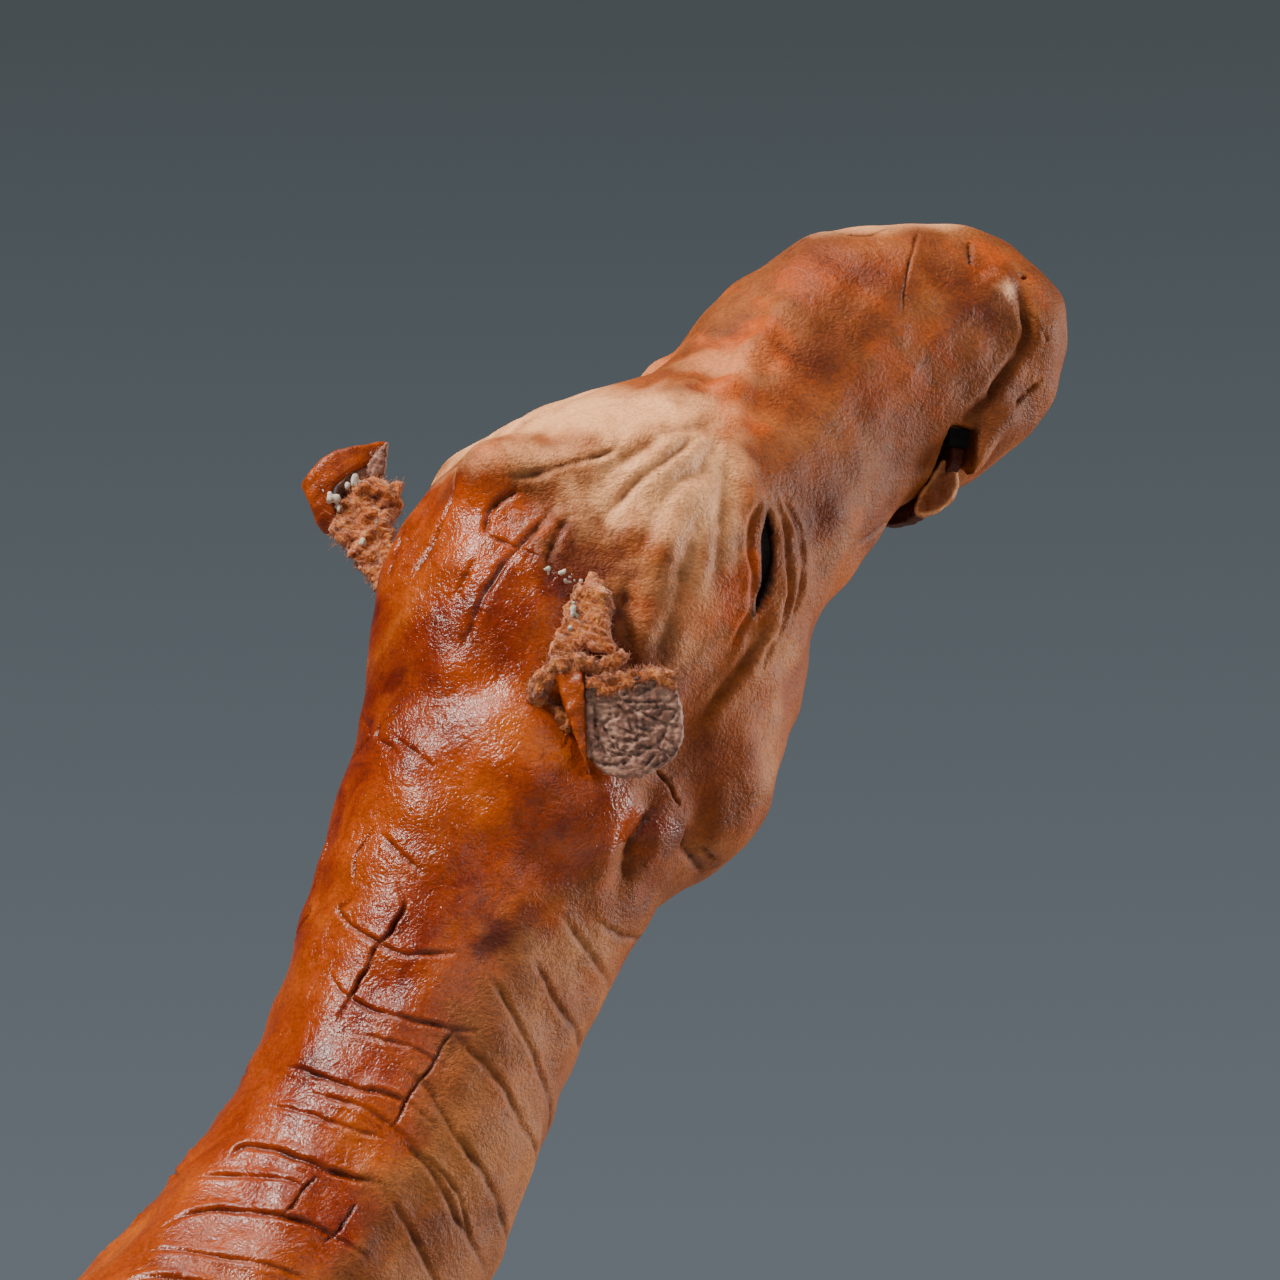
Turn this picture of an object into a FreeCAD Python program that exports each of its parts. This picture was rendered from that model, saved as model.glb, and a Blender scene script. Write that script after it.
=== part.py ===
"""Giraffe statue: carved wooden core pieces on dowels, covered with skins of wet-moulded leather.

Millimetres. +X is where the giraffe faces, +Y its left, +Z up. The origin is on the floor, under the middle of
the statue. Every body piece is a loft through stations along its centreline: a station gives a point of the
centreline in the plane Y = 0, the lean of the centreline there, and how far the surface stands above it, below
it and to each side. The stations describe the outside of the leather, and the core is the same loft one
leather thickness further in.
"""

import FreeCAD
import Part

import math
import os

Vector = FreeCAD.Vector

# ---- Driving dimensions ----
LEATHER = 1.6  # the skins
EAR_LEATHER = 2.2  # the ears are cut from a thicker hide
RING_POINTS = 20  # control points round each section

# Centreline stations of the trunk, neck and head: x, z, lean in degrees above the horizontal, height of the
# surface above and below, half width, and how square the section is (2 is an ellipse, more is squarer).
TRUNK = [
    (-262, 452, 4, 12, 14, 11, 2),
    (-257, 453, 5, 33, 37, 29, 2),
    (-243, 455, 7, 48, 53, 42, 2),
    (-215, 460, 9, 59, 65, 52, 2),
    (-175, 469, 12, 63, 71, 57, 2),
    (-130, 481, 16, 65, 75, 59, 2),
    (-85, 499, 25, 65, 76, 57, 2),
    (-45, 528, 38, 59, 69, 51, 2),
]
NECK = [
    (-12, 562, 49, 48, 56, 42, 2),  # the withers
    (30, 612, 49, 37, 40, 32, 2),
    (75, 662, 48, 30, 32, 26.5, 2),
    (120, 710, 46.5, 25, 27, 23.5, 2),
    (160, 750, 47, 20.5, 22.5, 21, 2),
    (174, 768, 55, 20, 21, 20, 2),
    (184, 789, 68, 20, 20, 19, 2),
]
HEAD = [
    (194, 811, 73, 23, 23.5, 20, 2),  # the nape
    (198, 818, 75.5, 24.5, 29, 21, 2),
    (202.5, 826, 77, 26.5, 31.5, 22, 2),  # the angle of the jaw
    (208, 838, 76, 30.5, 31.5, 23.5, 2),
    (215, 850, 70, 30.5, 26.5, 24, 2.05),  # the brow
    (223, 860, 62, 23, 25, 23, 2.1),
    (233, 867.5, 51, 15.8, 22, 19, 2.1),  # the dip before the nose
    (242, 874, 42, 18, 19.5, 16.5, 2.2),
    (251, 880, 34, 19.2, 21, 16.5, 2.3),
    (261, 884, 28, 17.8, 20.5, 16.5, 2.4),
    (270, 887, 24, 15, 16.8, 16, 2.3),
    (276, 889.5, 22, 10.3, 12, 12.5, 2.1),
    (280.5, 891, 22, 4, 5.5, 6, 2),
]
BODY = TRUNK + NECK + HEAD
STEPS = 3  # sections from one station to the next

# Tail: x and z of its root inside the rump, of the corner that its bend rounds off, and of its lower end.
TAIL = [(-236, 488), (-274.5, 474), (-274.5, 330)]
TAIL_BEND_R = 26
TAIL_R = 4.8
TAIL_WIRE_R = 1.2
TUFT = [(340, 5), (330, 7), (310, 8.8), (280, 9.4), (252, 7.4), (234, 4), (226, 1.5)]  # z and radius

# Legs: x, side, z of the centreline, half depth along X, half width along Y. The outside of the leather.
HOOF_H = 28
FRONT_LEG = [
    (-48, 37, HOOF_H, 12, 11),
    (-49, 37, 46, 12.5, 11.5),  # fetlock
    (-50, 37, 75, 9.8, 9.2),
    (-51, 37, 130, 9.8, 9.2),
    (-52, 37.5, 182, 13.5, 12.5),  # knee
    (-53, 38, 218, 12, 11.5),
    (-55, 38, 280, 14.5, 13.5),
    (-58, 39, 345, 19.5, 16.5),
    (-62, 40, 405, 26, 20),
    (-64, 38, 465, 30, 19),
    (-66, 31, 520, 20, 9),
]
HIND_LEG = [
    (-230, 37, HOOF_H, 12, 11),
    (-232, 37, 46, 12.5, 11.5),
    (-235, 37, 75, 9.8, 9.2),
    (-239, 37, 130, 10.2, 9.2),
    (-244, 37.5, 182, 15, 11.5),  # hock
    (-241, 38, 218, 13.5, 11.5),
    (-230, 38, 275, 17, 14.5),
    (-219, 38, 335, 25, 18),
    (-212, 37, 395, 32, 20.5),
    (-212, 34, 450, 33, 17.5),
    (-214, 26, 496, 20, 9),
]
HOOF_SOLE = (17, 14.5)  # half depth and half width on the floor
HOOF_TOP = (14, 12.8)
HOOF_TOE = 4  # the sole lies this far in front of the leg
HOOF_STEPS = 4
PEG_R, PEG_BOTTOM = 4, 10  # turned on the foot of each leg, glued into the hoof

# Dowels
HEAD_DOWEL_R, HEAD_DOWEL_L = 5, 44
NECK_DOWEL_R, NECK_DOWEL_L = 9, 90
LEG_DOWEL_R, LEG_DOWEL_INNER, LEG_DOWEL_OUTER = 5, 18, 46
FRONT_DOWEL = (-64, 468)  # x, z
HIND_DOWEL = (-218, 446)

# Eyes: an upright crescent slit in the skin over a dark insert let into the wood.
EYE_X, EYE_SIDE, EYE_Z = 221, 18.5, 848.6  # the insert's centre, on each side
EYE_INSERT = (4.5, 4.5, 9)  # half sizes
EYE_SLIT_H = 16
EYE_SLIT_BACK, EYE_SLIT_FRONT = 0.4, 2.4  # how far the slit's two edges bow forward of its ends
EYE_SLIT_ENDS = -1.2  # the slit's ends, ahead of the insert's centre

# Mouth: a slot cut upwards into the muzzle from below, with a lining at its end and a lip flap in it.
MOUTH = Vector(258.3, 0, 859)  # where the slot's middle leaves the underside
MOUTH_LEAN = 84
MOUTH_DEPTH, MOUTH_GAP = 11.5, 3.2
MOUTH_LINING_END, MOUTH_LINING_WALL, MOUTH_LINING_W = 2.4, 0.9, 27
MUZZLE_HALF_W, MUZZLE_HALF_H = 16.5, 23  # the muzzle's section where the slot is
LIP_STANDS_PROUD, LIP_T, LIP_W = 0.5, 1.8, 25

# Ears, cut from thick hide. Each is a stalk glued into the skull and a round blade.
EAR_ROOT = Vector(195.4, 20, 842)
EAR_TAB_W, EAR_TAB_DEPTH = 5, 9
RIGHT_STALK = (12, 8)  # length and width of the strap that hangs from the slot
RIGHT_BLADE = Vector(200, -25.8, 825.8)
RIGHT_BLADE_R = 6.1
LEFT_STALK = (17, 7.5)
LEFT_WAY = Vector(-6.5, 14, 22.5)  # the left ear stands out from the head this way
LEFT_BLADE_R = 6.4


def refined(stations, place):
    """The stations with STEPS - 1 more between each two, every value on a smooth curve through them all.

    place is how many of the leading values are coordinates: the distance between stations sets the pace.
    """
    gaps = [math.dist(a[:place], b[:place]) for a, b in zip(stations, stations[1:])]
    last = len(stations) - 1
    slopes = []
    for i in range(last + 1):
        before, after = max(i - 1, 0), min(i + 1, last)
        span = sum(gaps[before:after])
        slopes.append([(b - a) / span for a, b in zip(stations[before], stations[after])])
    result = []
    for i in range(last):
        for step in range(STEPS):
            t = step / STEPS
            result.append(tuple(
                a * (1 + 2 * t) * (1 - t) ** 2 + b * (3 - 2 * t) * t ** 2
                + gaps[i] * (u * t * (1 - t) ** 2 - v * (1 - t) * t ** 2)
                for a, b, u, v in zip(stations[i], stations[i + 1], slopes[i], slopes[i + 1])))
    return result + [stations[last]]


def signed_power(value, power):
    return math.copysign(abs(value) ** power, value)


def ring(centre, across, upward, side, up, down, square=2):
    """Control points of a closed curve: side along across, up and down along upward.

    The points stand outside the curve that they control, by the same factor all round an ellipse.
    """
    stand_off = 3 / (2 + math.cos(2 * math.pi / RING_POINTS))
    points = []
    for i in range(RING_POINTS):
        t = 2 * math.pi * i / RING_POINTS
        height = signed_power(math.sin(t), 2 / square) * (up if math.sin(t) > 0 else down)
        breadth = signed_power(math.cos(t), 2 / square) * side
        points.append(centre + (across * breadth + upward * height) * stand_off)
    return points


def tube(rings):
    """A solid with flat ends, whose side is one smooth surface controlled by the rings."""
    around, along = len(rings[0]), len(rings)
    around_knots, around_counts = list(range(around + 1)), [1] * (around + 1)
    along_knots, along_counts = list(range(along - 2)), [4] + [1] * (along - 4) + [4]
    side = Part.BSplineSurface()
    net = [[points[i] for points in rings] for i in range(around)]
    side.buildFromPolesMultsKnots(net, around_counts, along_counts, around_knots, along_knots,
                                  True, False, 3, 3)
    faces = [side.toShape()]
    for points in (rings[0], rings[-1]):
        rim = Part.BSplineCurve()
        rim.buildFromPolesMultsKnots(points, around_counts, around_knots, True, 3)
        faces.append(Part.Face(Part.Wire(rim.toShape())))
    shell = Part.makeShell(faces)
    shell.sewShape()
    solid = Part.makeSolid(shell)
    if solid.Volume < 0:
        solid.reverse()
    return solid


def body_ring(station):
    x, z, lean, up, down, side, square = station
    a = math.radians(lean)
    upward = Vector(-math.sin(a), 0, math.cos(a))
    return ring(Vector(x, 0, z), Vector(0, -1, 0), upward, side, up, down, square)


def shifted(station, distance):
    """The station moved along the centreline."""
    a = math.radians(station[2])
    return (station[0] + distance * math.cos(a), station[1] + distance * math.sin(a)) + station[2:]


def core_stations(stations):
    """The stations of the wood under the leather, drawn in all round and at both ends."""
    thinner = [s[:3] + tuple(size - LEATHER for size in s[3:6]) + s[6:] for s in stations]
    return [shifted(thinner[0], LEATHER)] + thinner[1:-1] + [shifted(thinner[-1], -LEATHER)]


def body_lofts(stations):
    """The trunk, the neck and the head as solids through the stations of BODY."""
    smooth = refined(stations, 2)
    neck_start = len(TRUNK) * STEPS
    head_start = neck_start + len(NECK) * STEPS
    pieces = smooth[:neck_start + 1], smooth[neck_start:head_start + 1], smooth[head_start:]
    return [tube([body_ring(station) for station in piece]) for piece in pieces]


def level_ring(x, y, z, along_x, along_y):
    return ring(Vector(x, y, z), Vector(1, 0, 0), Vector(0, 1, 0), along_x, along_y, along_y)


def leg_tube(stations, inset=0.0):
    return tube([level_ring(x, y, z, a - inset, b - inset) for x, y, z, a, b in refined(stations, 3)])


def tail_tube(radius):
    """A round tube along the tail: a straight run, one bend and a straight run down."""
    root, corner, end = (Vector(x, 0, z) for x, z in TAIL)
    before, after = (root - corner).normalize(), (end - corner).normalize()
    half_turn = (math.pi - before.getAngle(after)) / 2
    bend_start = corner + before * (TAIL_BEND_R * math.tan(half_turn))
    bend_end = corner + after * (TAIL_BEND_R * math.tan(half_turn))
    middle_way = (before + after).normalize()
    bend_middle = corner + middle_way * (TAIL_BEND_R / math.cos(half_turn) - TAIL_BEND_R)
    path = Part.Wire([
        Part.LineSegment(root, bend_start).toShape(),
        Part.Arc(bend_start, bend_middle, bend_end).toShape(),
        Part.LineSegment(bend_end, end).toShape(),
    ])
    ring = Part.Wire(Part.makeCircle(radius, root, before))
    return path.makePipeShell([ring], True, False)


def cylinder(radius, length, start, direction):
    return Part.makeCylinder(radius, length, start, direction)


def mirrored(shape):
    """The same piece on the right side, for a piece made on the left."""
    return shape.mirror(Vector(0, 0, 0), Vector(0, 1, 0))


def oriented(shape, origin, along, normal):
    """shape, modelled with its length along X and its thickness along Z, laid along a direction."""
    along = Vector(along).normalize()
    normal = Vector(normal)
    normal = (normal - along * normal.dot(along)).normalize()
    placed = shape.copy()
    lay = FreeCAD.Placement(origin, FreeCAD.Rotation(along, normal.cross(along), normal, "XZY"))
    placed.Placement = lay.multiply(placed.Placement)
    return placed


def lean_direction(lean):
    a = math.radians(lean)
    return Vector(math.cos(a), 0, math.sin(a))


def save(name, shape):
    solids = shape.Solids
    shape = solids[0] if len(solids) == 1 else Part.makeCompound(solids)
    if not shape.isValid():
        print("not valid:", name)
    shape.exportStep("parts/" + name + ".step")
    box = shape.BoundBox
    print(f"{name}: {len(solids)} solid, {shape.Volume / 1000:.2f} cm3, x {box.XMin:.1f} to {box.XMax:.1f}, "
          f"y {box.YMin:.1f} to {box.YMax:.1f}, z {box.ZMin:.1f} to {box.ZMax:.1f}")


# ---- Dowels between the cores ----
def head_dowel():
    x, z, lean = HEAD[0][:3]
    direction = lean_direction(lean)
    start = Vector(x, 0, z) - direction * (HEAD_DOWEL_L / 2)
    return cylinder(HEAD_DOWEL_R, HEAD_DOWEL_L, start, direction)


def neck_dowel():
    x, z, lean = NECK[0][:3]
    direction = lean_direction(lean)
    start = Vector(x, 0, z) - direction * (NECK_DOWEL_L / 2)
    return cylinder(NECK_DOWEL_R, NECK_DOWEL_L, start, direction)


def leg_dowel(place):
    """The left leg's dowel."""
    x, z = place
    length = LEG_DOWEL_OUTER - LEG_DOWEL_INNER
    return cylinder(LEG_DOWEL_R, length, Vector(x, LEG_DOWEL_INNER, z), Vector(0, 1, 0))


# ---- Features of the head ----
def eye_socket(side):
    """The almond hollow cut into the wood for an eye. side is 1 on the left and -1 on the right."""
    a, b, c = EYE_INSERT
    stretch = FreeCAD.Matrix()
    stretch.A11, stretch.A22, stretch.A33 = a, b, c
    almond = Part.makeSphere(1).transformGeometry(stretch)
    almond.translate(Vector(EYE_X, side * EYE_SIDE, EYE_Z))
    return almond


def eye_slit(side):
    """The crescent cut through the skin: two arcs on one upright chord."""
    top = Vector(0, 0, EYE_SLIT_H / 2)
    front = Part.Arc(top, Vector(EYE_SLIT_FRONT, 0, 0), -top).toShape()
    back = Part.Arc(-top, Vector(EYE_SLIT_BACK, 0, 0), top).toShape()
    cut = Part.Face(Part.Wire([front, back])).extrude(Vector(0, side * 12, 0))
    cut.translate(Vector(EYE_X + EYE_SLIT_ENDS, side * EYE_SIDE, EYE_Z))
    return cut


def in_mouth(shape):
    """shape, modelled with the slot's depth along X, its width along Y and its gap along Z, put in place."""
    return oriented(shape, MOUTH, lean_direction(MOUTH_LEAN), Vector(1, 0, 0))


def mouth_slot():
    outside = 12
    slot = Part.makeBox(MOUTH_DEPTH + outside, 3 * MUZZLE_HALF_W, MOUTH_GAP)
    slot.translate(Vector(-outside, -1.5 * MUZZLE_HALF_W, -MOUTH_GAP / 2))
    return in_mouth(slot)


def mouth_lining():
    """A black strip that fills the end of the slot and runs down its rear wall."""
    end = Part.makeBox(MOUTH_LINING_END, MOUTH_LINING_W, MOUTH_GAP)
    end.translate(Vector(MOUTH_DEPTH - MOUTH_LINING_END, -MOUTH_LINING_W / 2, -MOUTH_GAP / 2))
    wall = Part.makeBox(MOUTH_DEPTH - 4, MOUTH_LINING_W * 0.6, MOUTH_LINING_WALL)
    wall.translate(Vector(4, -MOUTH_LINING_W * 0.3, -MOUTH_GAP / 2))
    return in_mouth(end.fuse(wall).removeSplitter())


def lip_flap():
    """A leather flap on the slot's front wall, cut to the muzzle's section and a little proud of it."""
    outline = Part.Ellipse(Vector(), MUZZLE_HALF_H + LIP_STANDS_PROUD, MUZZLE_HALF_W + LIP_STANDS_PROUD)
    plate = Part.Face(Part.Wire(outline.toShape())).extrude(Vector(0, 0, LIP_T))
    plate.translate(Vector(MUZZLE_HALF_H, 0, MOUTH_GAP / 2 - LIP_T))
    room = Part.makeBox(40, LIP_W, MOUTH_GAP)
    room.translate(Vector(MOUTH_DEPTH - MOUTH_LINING_END - 40, -LIP_W / 2, -MOUTH_GAP / 2))
    return in_mouth(plate.common(room))


def strap(start, end, width, facing):
    """A flat strap of ear leather from start to end."""
    box = Part.makeBox((end - start).Length, width, EAR_LEATHER)
    box.translate(Vector(0, -width / 2, -EAR_LEATHER / 2))
    return oriented(box, start, end - start, facing)


def disc(centre, radius, facing):
    """A round blade of ear leather."""
    plate = Part.makeCylinder(radius, EAR_LEATHER, Vector(0, 0, -EAR_LEATHER / 2))
    return oriented(plate, centre, Vector(0, 0, 1), facing)


def ear_right():
    """Comes out of its slot, folds down and hangs, with its blade turned outwards."""
    root = Vector(EAR_ROOT.x, -EAR_ROOT.y, EAR_ROOT.z)
    fold = root + Vector(0, -3, 0)
    length, width = RIGHT_STALK
    bottom = fold + Vector(0.5, -0.6, -length)
    outward = (RIGHT_BLADE - bottom).cross(Vector(0, 0, 1))
    inner, outer = root + Vector(0, EAR_TAB_DEPTH, 0), fold + Vector(0, -EAR_LEATHER / 2, 0)
    pieces = [
        strap(inner, outer, EAR_TAB_W, Vector(0, 0, 1)),
        strap(fold + Vector(0, 0, EAR_LEATHER / 2), bottom, width, Vector(0, 1, 0)),
        strap(bottom + Vector(-1, 0, -0.5), RIGHT_BLADE, width, outward),
        disc(RIGHT_BLADE, RIGHT_BLADE_R, outward),
    ]
    return pieces[0].fuse(pieces[1:]).removeSplitter()


def ear_left():
    """Stands out and up from its slot, with its blade facing forwards."""
    way = Vector(LEFT_WAY).normalize()
    length, width = LEFT_STALK
    fold = EAR_ROOT + way * length
    facing = Vector(1, 0.3, 0)
    blade = disc(fold + way * (LEFT_BLADE_R - 1), LEFT_BLADE_R, facing)
    inner, outer = EAR_ROOT - Vector(0, EAR_TAB_DEPTH, 0), EAR_ROOT + Vector(0, 2, 0)
    tab = strap(inner, outer, EAR_TAB_W, Vector(0, 0, 1))
    return tab.fuse([strap(EAR_ROOT - way, fold, width, facing), blade]).removeSplitter()


# ---- Hooves ----
def hoof(leg):
    """The left hoof of a leg, bored for the leg's peg."""
    x, y = leg[0][:2]
    rings = []
    for step in range(HOOF_STEPS + 1):
        t = step / HOOF_STEPS
        half_x, half_y = (a + (b - a) * t for a, b in zip(HOOF_SOLE, HOOF_TOP))
        rings.append(level_ring(x + HOOF_TOE * (1 - t), y, HOOF_H * t, half_x, half_y))
    bore = cylinder(PEG_R, HOOF_H, Vector(x, y, PEG_BOTTOM), Vector(0, 0, 1))
    return tube(rings).cut(bore)


def leg_pieces(leg, dowel, torso_core):
    """The left leg's carved core and its skin, both hollowed to sit against the torso's core."""
    outside = leg_tube(leg)
    inside = leg_tube(leg, LEATHER)
    x, y, z = leg[0][:3]
    peg = cylinder(PEG_R, z - PEG_BOTTOM, Vector(x, y, PEG_BOTTOM), Vector(0, 0, 1))
    core = inside.cut([torso_core, dowel]).fuse(peg)
    skin = outside.cut([inside, torso_core])
    return outside, core, skin


def largest(shape):
    """The largest solid, without the slivers that a cut along a shared surface can leave."""
    return max(shape.Solids, key=lambda s: s.Volume)


def main():
    os.makedirs("parts", exist_ok=True)

    # Trunk and legs
    torso_out, neck_out, head_out = body_lofts(BODY)
    torso_in, neck_in, head_in = body_lofts(core_stations(BODY))
    tail_out, tail_wire = tail_tube(TAIL_R), tail_tube(TAIL_WIRE_R)
    front_dowel, hind_dowel = leg_dowel(FRONT_DOWEL), leg_dowel(HIND_DOWEL)
    front_out, front_core, front_skin = leg_pieces(FRONT_LEG, front_dowel, torso_in)
    hind_out, hind_core, hind_skin = leg_pieces(HIND_LEG, hind_dowel, torso_in)
    legs_out = [front_out, mirrored(front_out), hind_out, mirrored(hind_out)]
    dowels = [front_dowel, mirrored(front_dowel), hind_dowel, mirrored(hind_dowel)]
    save("torso_core", torso_in.cut(dowels + [neck_dowel(), tail_wire]))
    save("torso_skin", largest(torso_out.cut([torso_in, tail_wire] + legs_out)))
    save("leg_dowels", Part.makeCompound(dowels))
    for end, core, skin, leg in (("front", front_core, front_skin, FRONT_LEG),
                                 ("hind", hind_core, hind_skin, HIND_LEG)):
        for side, place in (("left", lambda s: s), ("right", mirrored)):
            save(f"{end}_{side}_leg_core", place(largest(core)))
            save(f"{end}_{side}_leg_skin", place(largest(skin)))
            save(f"{end}_{side}_hoof", place(hoof(leg)))

    # Tail
    save("tail_wire", tail_wire)
    save("tail_skin", largest(tail_out.cut([tail_wire, torso_out])))
    tuft = tube([level_ring(TAIL[-1][0], 0, z, r, r) for z, r in TUFT])
    save("tail_tuft", tuft.cut([tail_out, tail_wire]))

    # Neck
    save("neck_dowel", neck_dowel())
    save("neck_core", neck_in.cut([neck_dowel(), head_dowel()]))
    save("neck_skin", neck_out.cut(neck_in))

    # Head
    sockets = [eye_socket(1), eye_socket(-1)]
    ears = [ear_left(), ear_right()]
    slot = mouth_slot()
    save("head_dowel", head_dowel())
    save("head_core", head_in.cut([head_dowel(), slot] + sockets + ears))
    save("head_skin", largest(head_out.cut([head_in, slot, eye_slit(1), eye_slit(-1)] + ears)))
    save("eye_left", sockets[0].common(head_in))
    save("eye_right", sockets[1].common(head_in))
    save("ear_left", ears[0])
    save("ear_right", ears[1])
    save("mouth_lining", mouth_lining())
    save("lip_flap", lip_flap())


main()
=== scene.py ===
"""The carved giraffe statue: dyed leather stretched over a carved wooden core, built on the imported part."""

import math

import bmesh
import bpy
import numpy as np
import openvdb
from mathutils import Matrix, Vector
from mathutils.kdtree import KDTree


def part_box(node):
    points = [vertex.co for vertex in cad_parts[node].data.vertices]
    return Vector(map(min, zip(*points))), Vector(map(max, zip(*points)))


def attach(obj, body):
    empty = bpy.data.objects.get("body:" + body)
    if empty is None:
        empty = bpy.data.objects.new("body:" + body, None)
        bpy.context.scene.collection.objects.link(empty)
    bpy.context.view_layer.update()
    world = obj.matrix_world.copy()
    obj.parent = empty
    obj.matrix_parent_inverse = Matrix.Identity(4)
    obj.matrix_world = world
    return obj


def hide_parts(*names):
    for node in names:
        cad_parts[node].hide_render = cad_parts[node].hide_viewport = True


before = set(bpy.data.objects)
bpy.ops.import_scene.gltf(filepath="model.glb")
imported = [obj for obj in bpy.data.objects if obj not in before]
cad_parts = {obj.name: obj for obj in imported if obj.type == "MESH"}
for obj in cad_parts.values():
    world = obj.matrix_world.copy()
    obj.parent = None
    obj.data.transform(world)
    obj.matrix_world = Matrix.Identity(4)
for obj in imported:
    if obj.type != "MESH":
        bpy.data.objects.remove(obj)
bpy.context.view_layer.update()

MM = 0.001
LEATHER = 1.6
RIGHT, LEFT = -1, 1
# a crease darker than CRACK_DARK is a crack; how far, in mm, cracks and folds waver from their table's points
CRACK_DARK, CRACK_UNREST, FOLD_UNREST = 0.75, 0.4, 0.12
# the share of the tables' depth, width, lip, darkness and fold that a crease gets, and the width, in mm, under
# which it needs the finest mesh
CREASE_SCALE = (0.7, 0.85, 0.45, 1, 0.45)
FINE_WIDTH = 0.6

# ---------------------------------------------------------------- camera, light and floor

AIM = Vector((0.216, 0.0, 0.840))
CAMERA_AZIMUTH, CAMERA_ELEVATION, CAMERA_DISTANCE = -32, -6, 0.75
LENS, SENSOR = 156.25, 36
FLOOR_SIZE, FLOOR_FADE = 60, 6
AIR = (102, 110, 116)

# name, azimuth, elevation, distance, size, power and tint of each soft lamp
LAMPS = [
    ("key", -88, 44, 1.5, 0.45, 45, (1.0, 0.93, 0.84)),
    ("overhead", -60, 80, 1.6, 0.9, 19, (1.0, 0.95, 0.88)),
    ("fill", 0, 12, 1.7, 1.0, 7, (1.0, 0.95, 0.9)),
    ("front", 78, 4, 1.6, 0.6, 30, (1.0, 0.93, 0.86)),
]


def direction(azimuth, elevation):
    """The way from the object to something at that azimuth and elevation, in degrees."""
    a, e = math.radians(azimuth), math.radians(elevation)
    return Vector((math.sin(a) * math.cos(e), -math.cos(a) * math.cos(e), math.sin(e)))


def place_round_head(name, data, azimuth, elevation, distance):
    """Puts a lamp or a camera somewhere round the head and turns it to look there."""
    thing = bpy.data.objects.new(name, data)
    bpy.context.scene.collection.objects.link(thing)
    thing.location = AIM + direction(azimuth, elevation) * distance
    thing.rotation_euler = (AIM - thing.location).to_track_quat("-Z", "Y").to_euler()
    return thing


def soft_lamp(name, azimuth, elevation, distance, size, power, tint):
    """One large square lamp that shines at the head."""
    data = bpy.data.lights.new(name, "AREA")
    data.shape, data.size, data.energy, data.color = "SQUARE", size, power, tint
    place_round_head(name, data, azimuth, elevation, distance)


def make_camera():
    """The long lens a little below the head, behind the animal's right cheek."""
    data = bpy.data.cameras.new("camera")
    data.lens, data.sensor_width = LENS, SENSOR
    data.clip_start, data.clip_end = 0.01, 200
    camera = place_round_head("camera", data, CAMERA_AZIMUTH, CAMERA_ELEVATION, CAMERA_DISTANCE)
    bpy.context.scene.camera = camera


def make_world():
    """Grey-blue studio air, a little darker overhead."""
    world = bpy.data.worlds.new("studio")
    world.use_nodes = True
    bpy.context.scene.world = world
    tree = world.node_tree
    place = tree.nodes.new("ShaderNodeTexCoord")
    split = tree.nodes.new("ShaderNodeSeparateXYZ")
    ramp = tree.nodes.new("ShaderNodeValToRGB")
    tree.links.new(place.outputs["Generated"], split.inputs[0])
    tree.links.new(split.outputs["Z"], ramp.inputs["Fac"])
    for stop, position, colour in zip(ramp.color_ramp.elements, (0.0, 0.22), (AIR, (74, 81, 84))):
        stop.position, stop.color = position, linear(*colour)
    tree.links.new(ramp.outputs["Color"], tree.nodes["Background"].inputs["Color"])


def make_floor():
    """A pale floor that takes on the colour of the air with distance, like a rolled backdrop."""
    mesh = bpy.data.meshes.new("floor")
    half = FLOOR_SIZE / 2
    corners = [(-half, -half, 0), (half, -half, 0), (half, half, 0), (-half, half, 0)]
    mesh.from_pydata(corners, [], [(0, 1, 2, 3)])
    floor = bpy.data.objects.new("floor", mesh)
    bpy.context.scene.collection.objects.link(floor)
    paint = Paint("floor_paint")
    cloud = paint.noise(400, detail=3)
    pale = paint.ramp(cloud, [(0.3, (188, 188, 184)), (0.7, (200, 200, 197))])
    reach = paint.add("VectorMath", {0: paint.place}, operation="LENGTH").outputs["Value"]
    far = paint.ramp(paint.math("MULTIPLY", reach, 1 / FLOOR_FADE), [(0.15, 0.0), (1.0, 1.0)])
    paint.colour(paint.mix(far, pale, (0, 0, 0)))
    paint.link("Emission Strength", far)
    paint.set(Roughness=0.75, Emission_Color=linear(*AIR))
    mesh.materials.append(paint.material)


# ---------------------------------------------------------------- materials

def linear(red, green, blue):
    """A screen colour, 0 to 255, as the linear colour that shaders take."""
    return tuple((c / 255) ** 2.2 for c in (red, green, blue)) + (1.0,)


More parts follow.
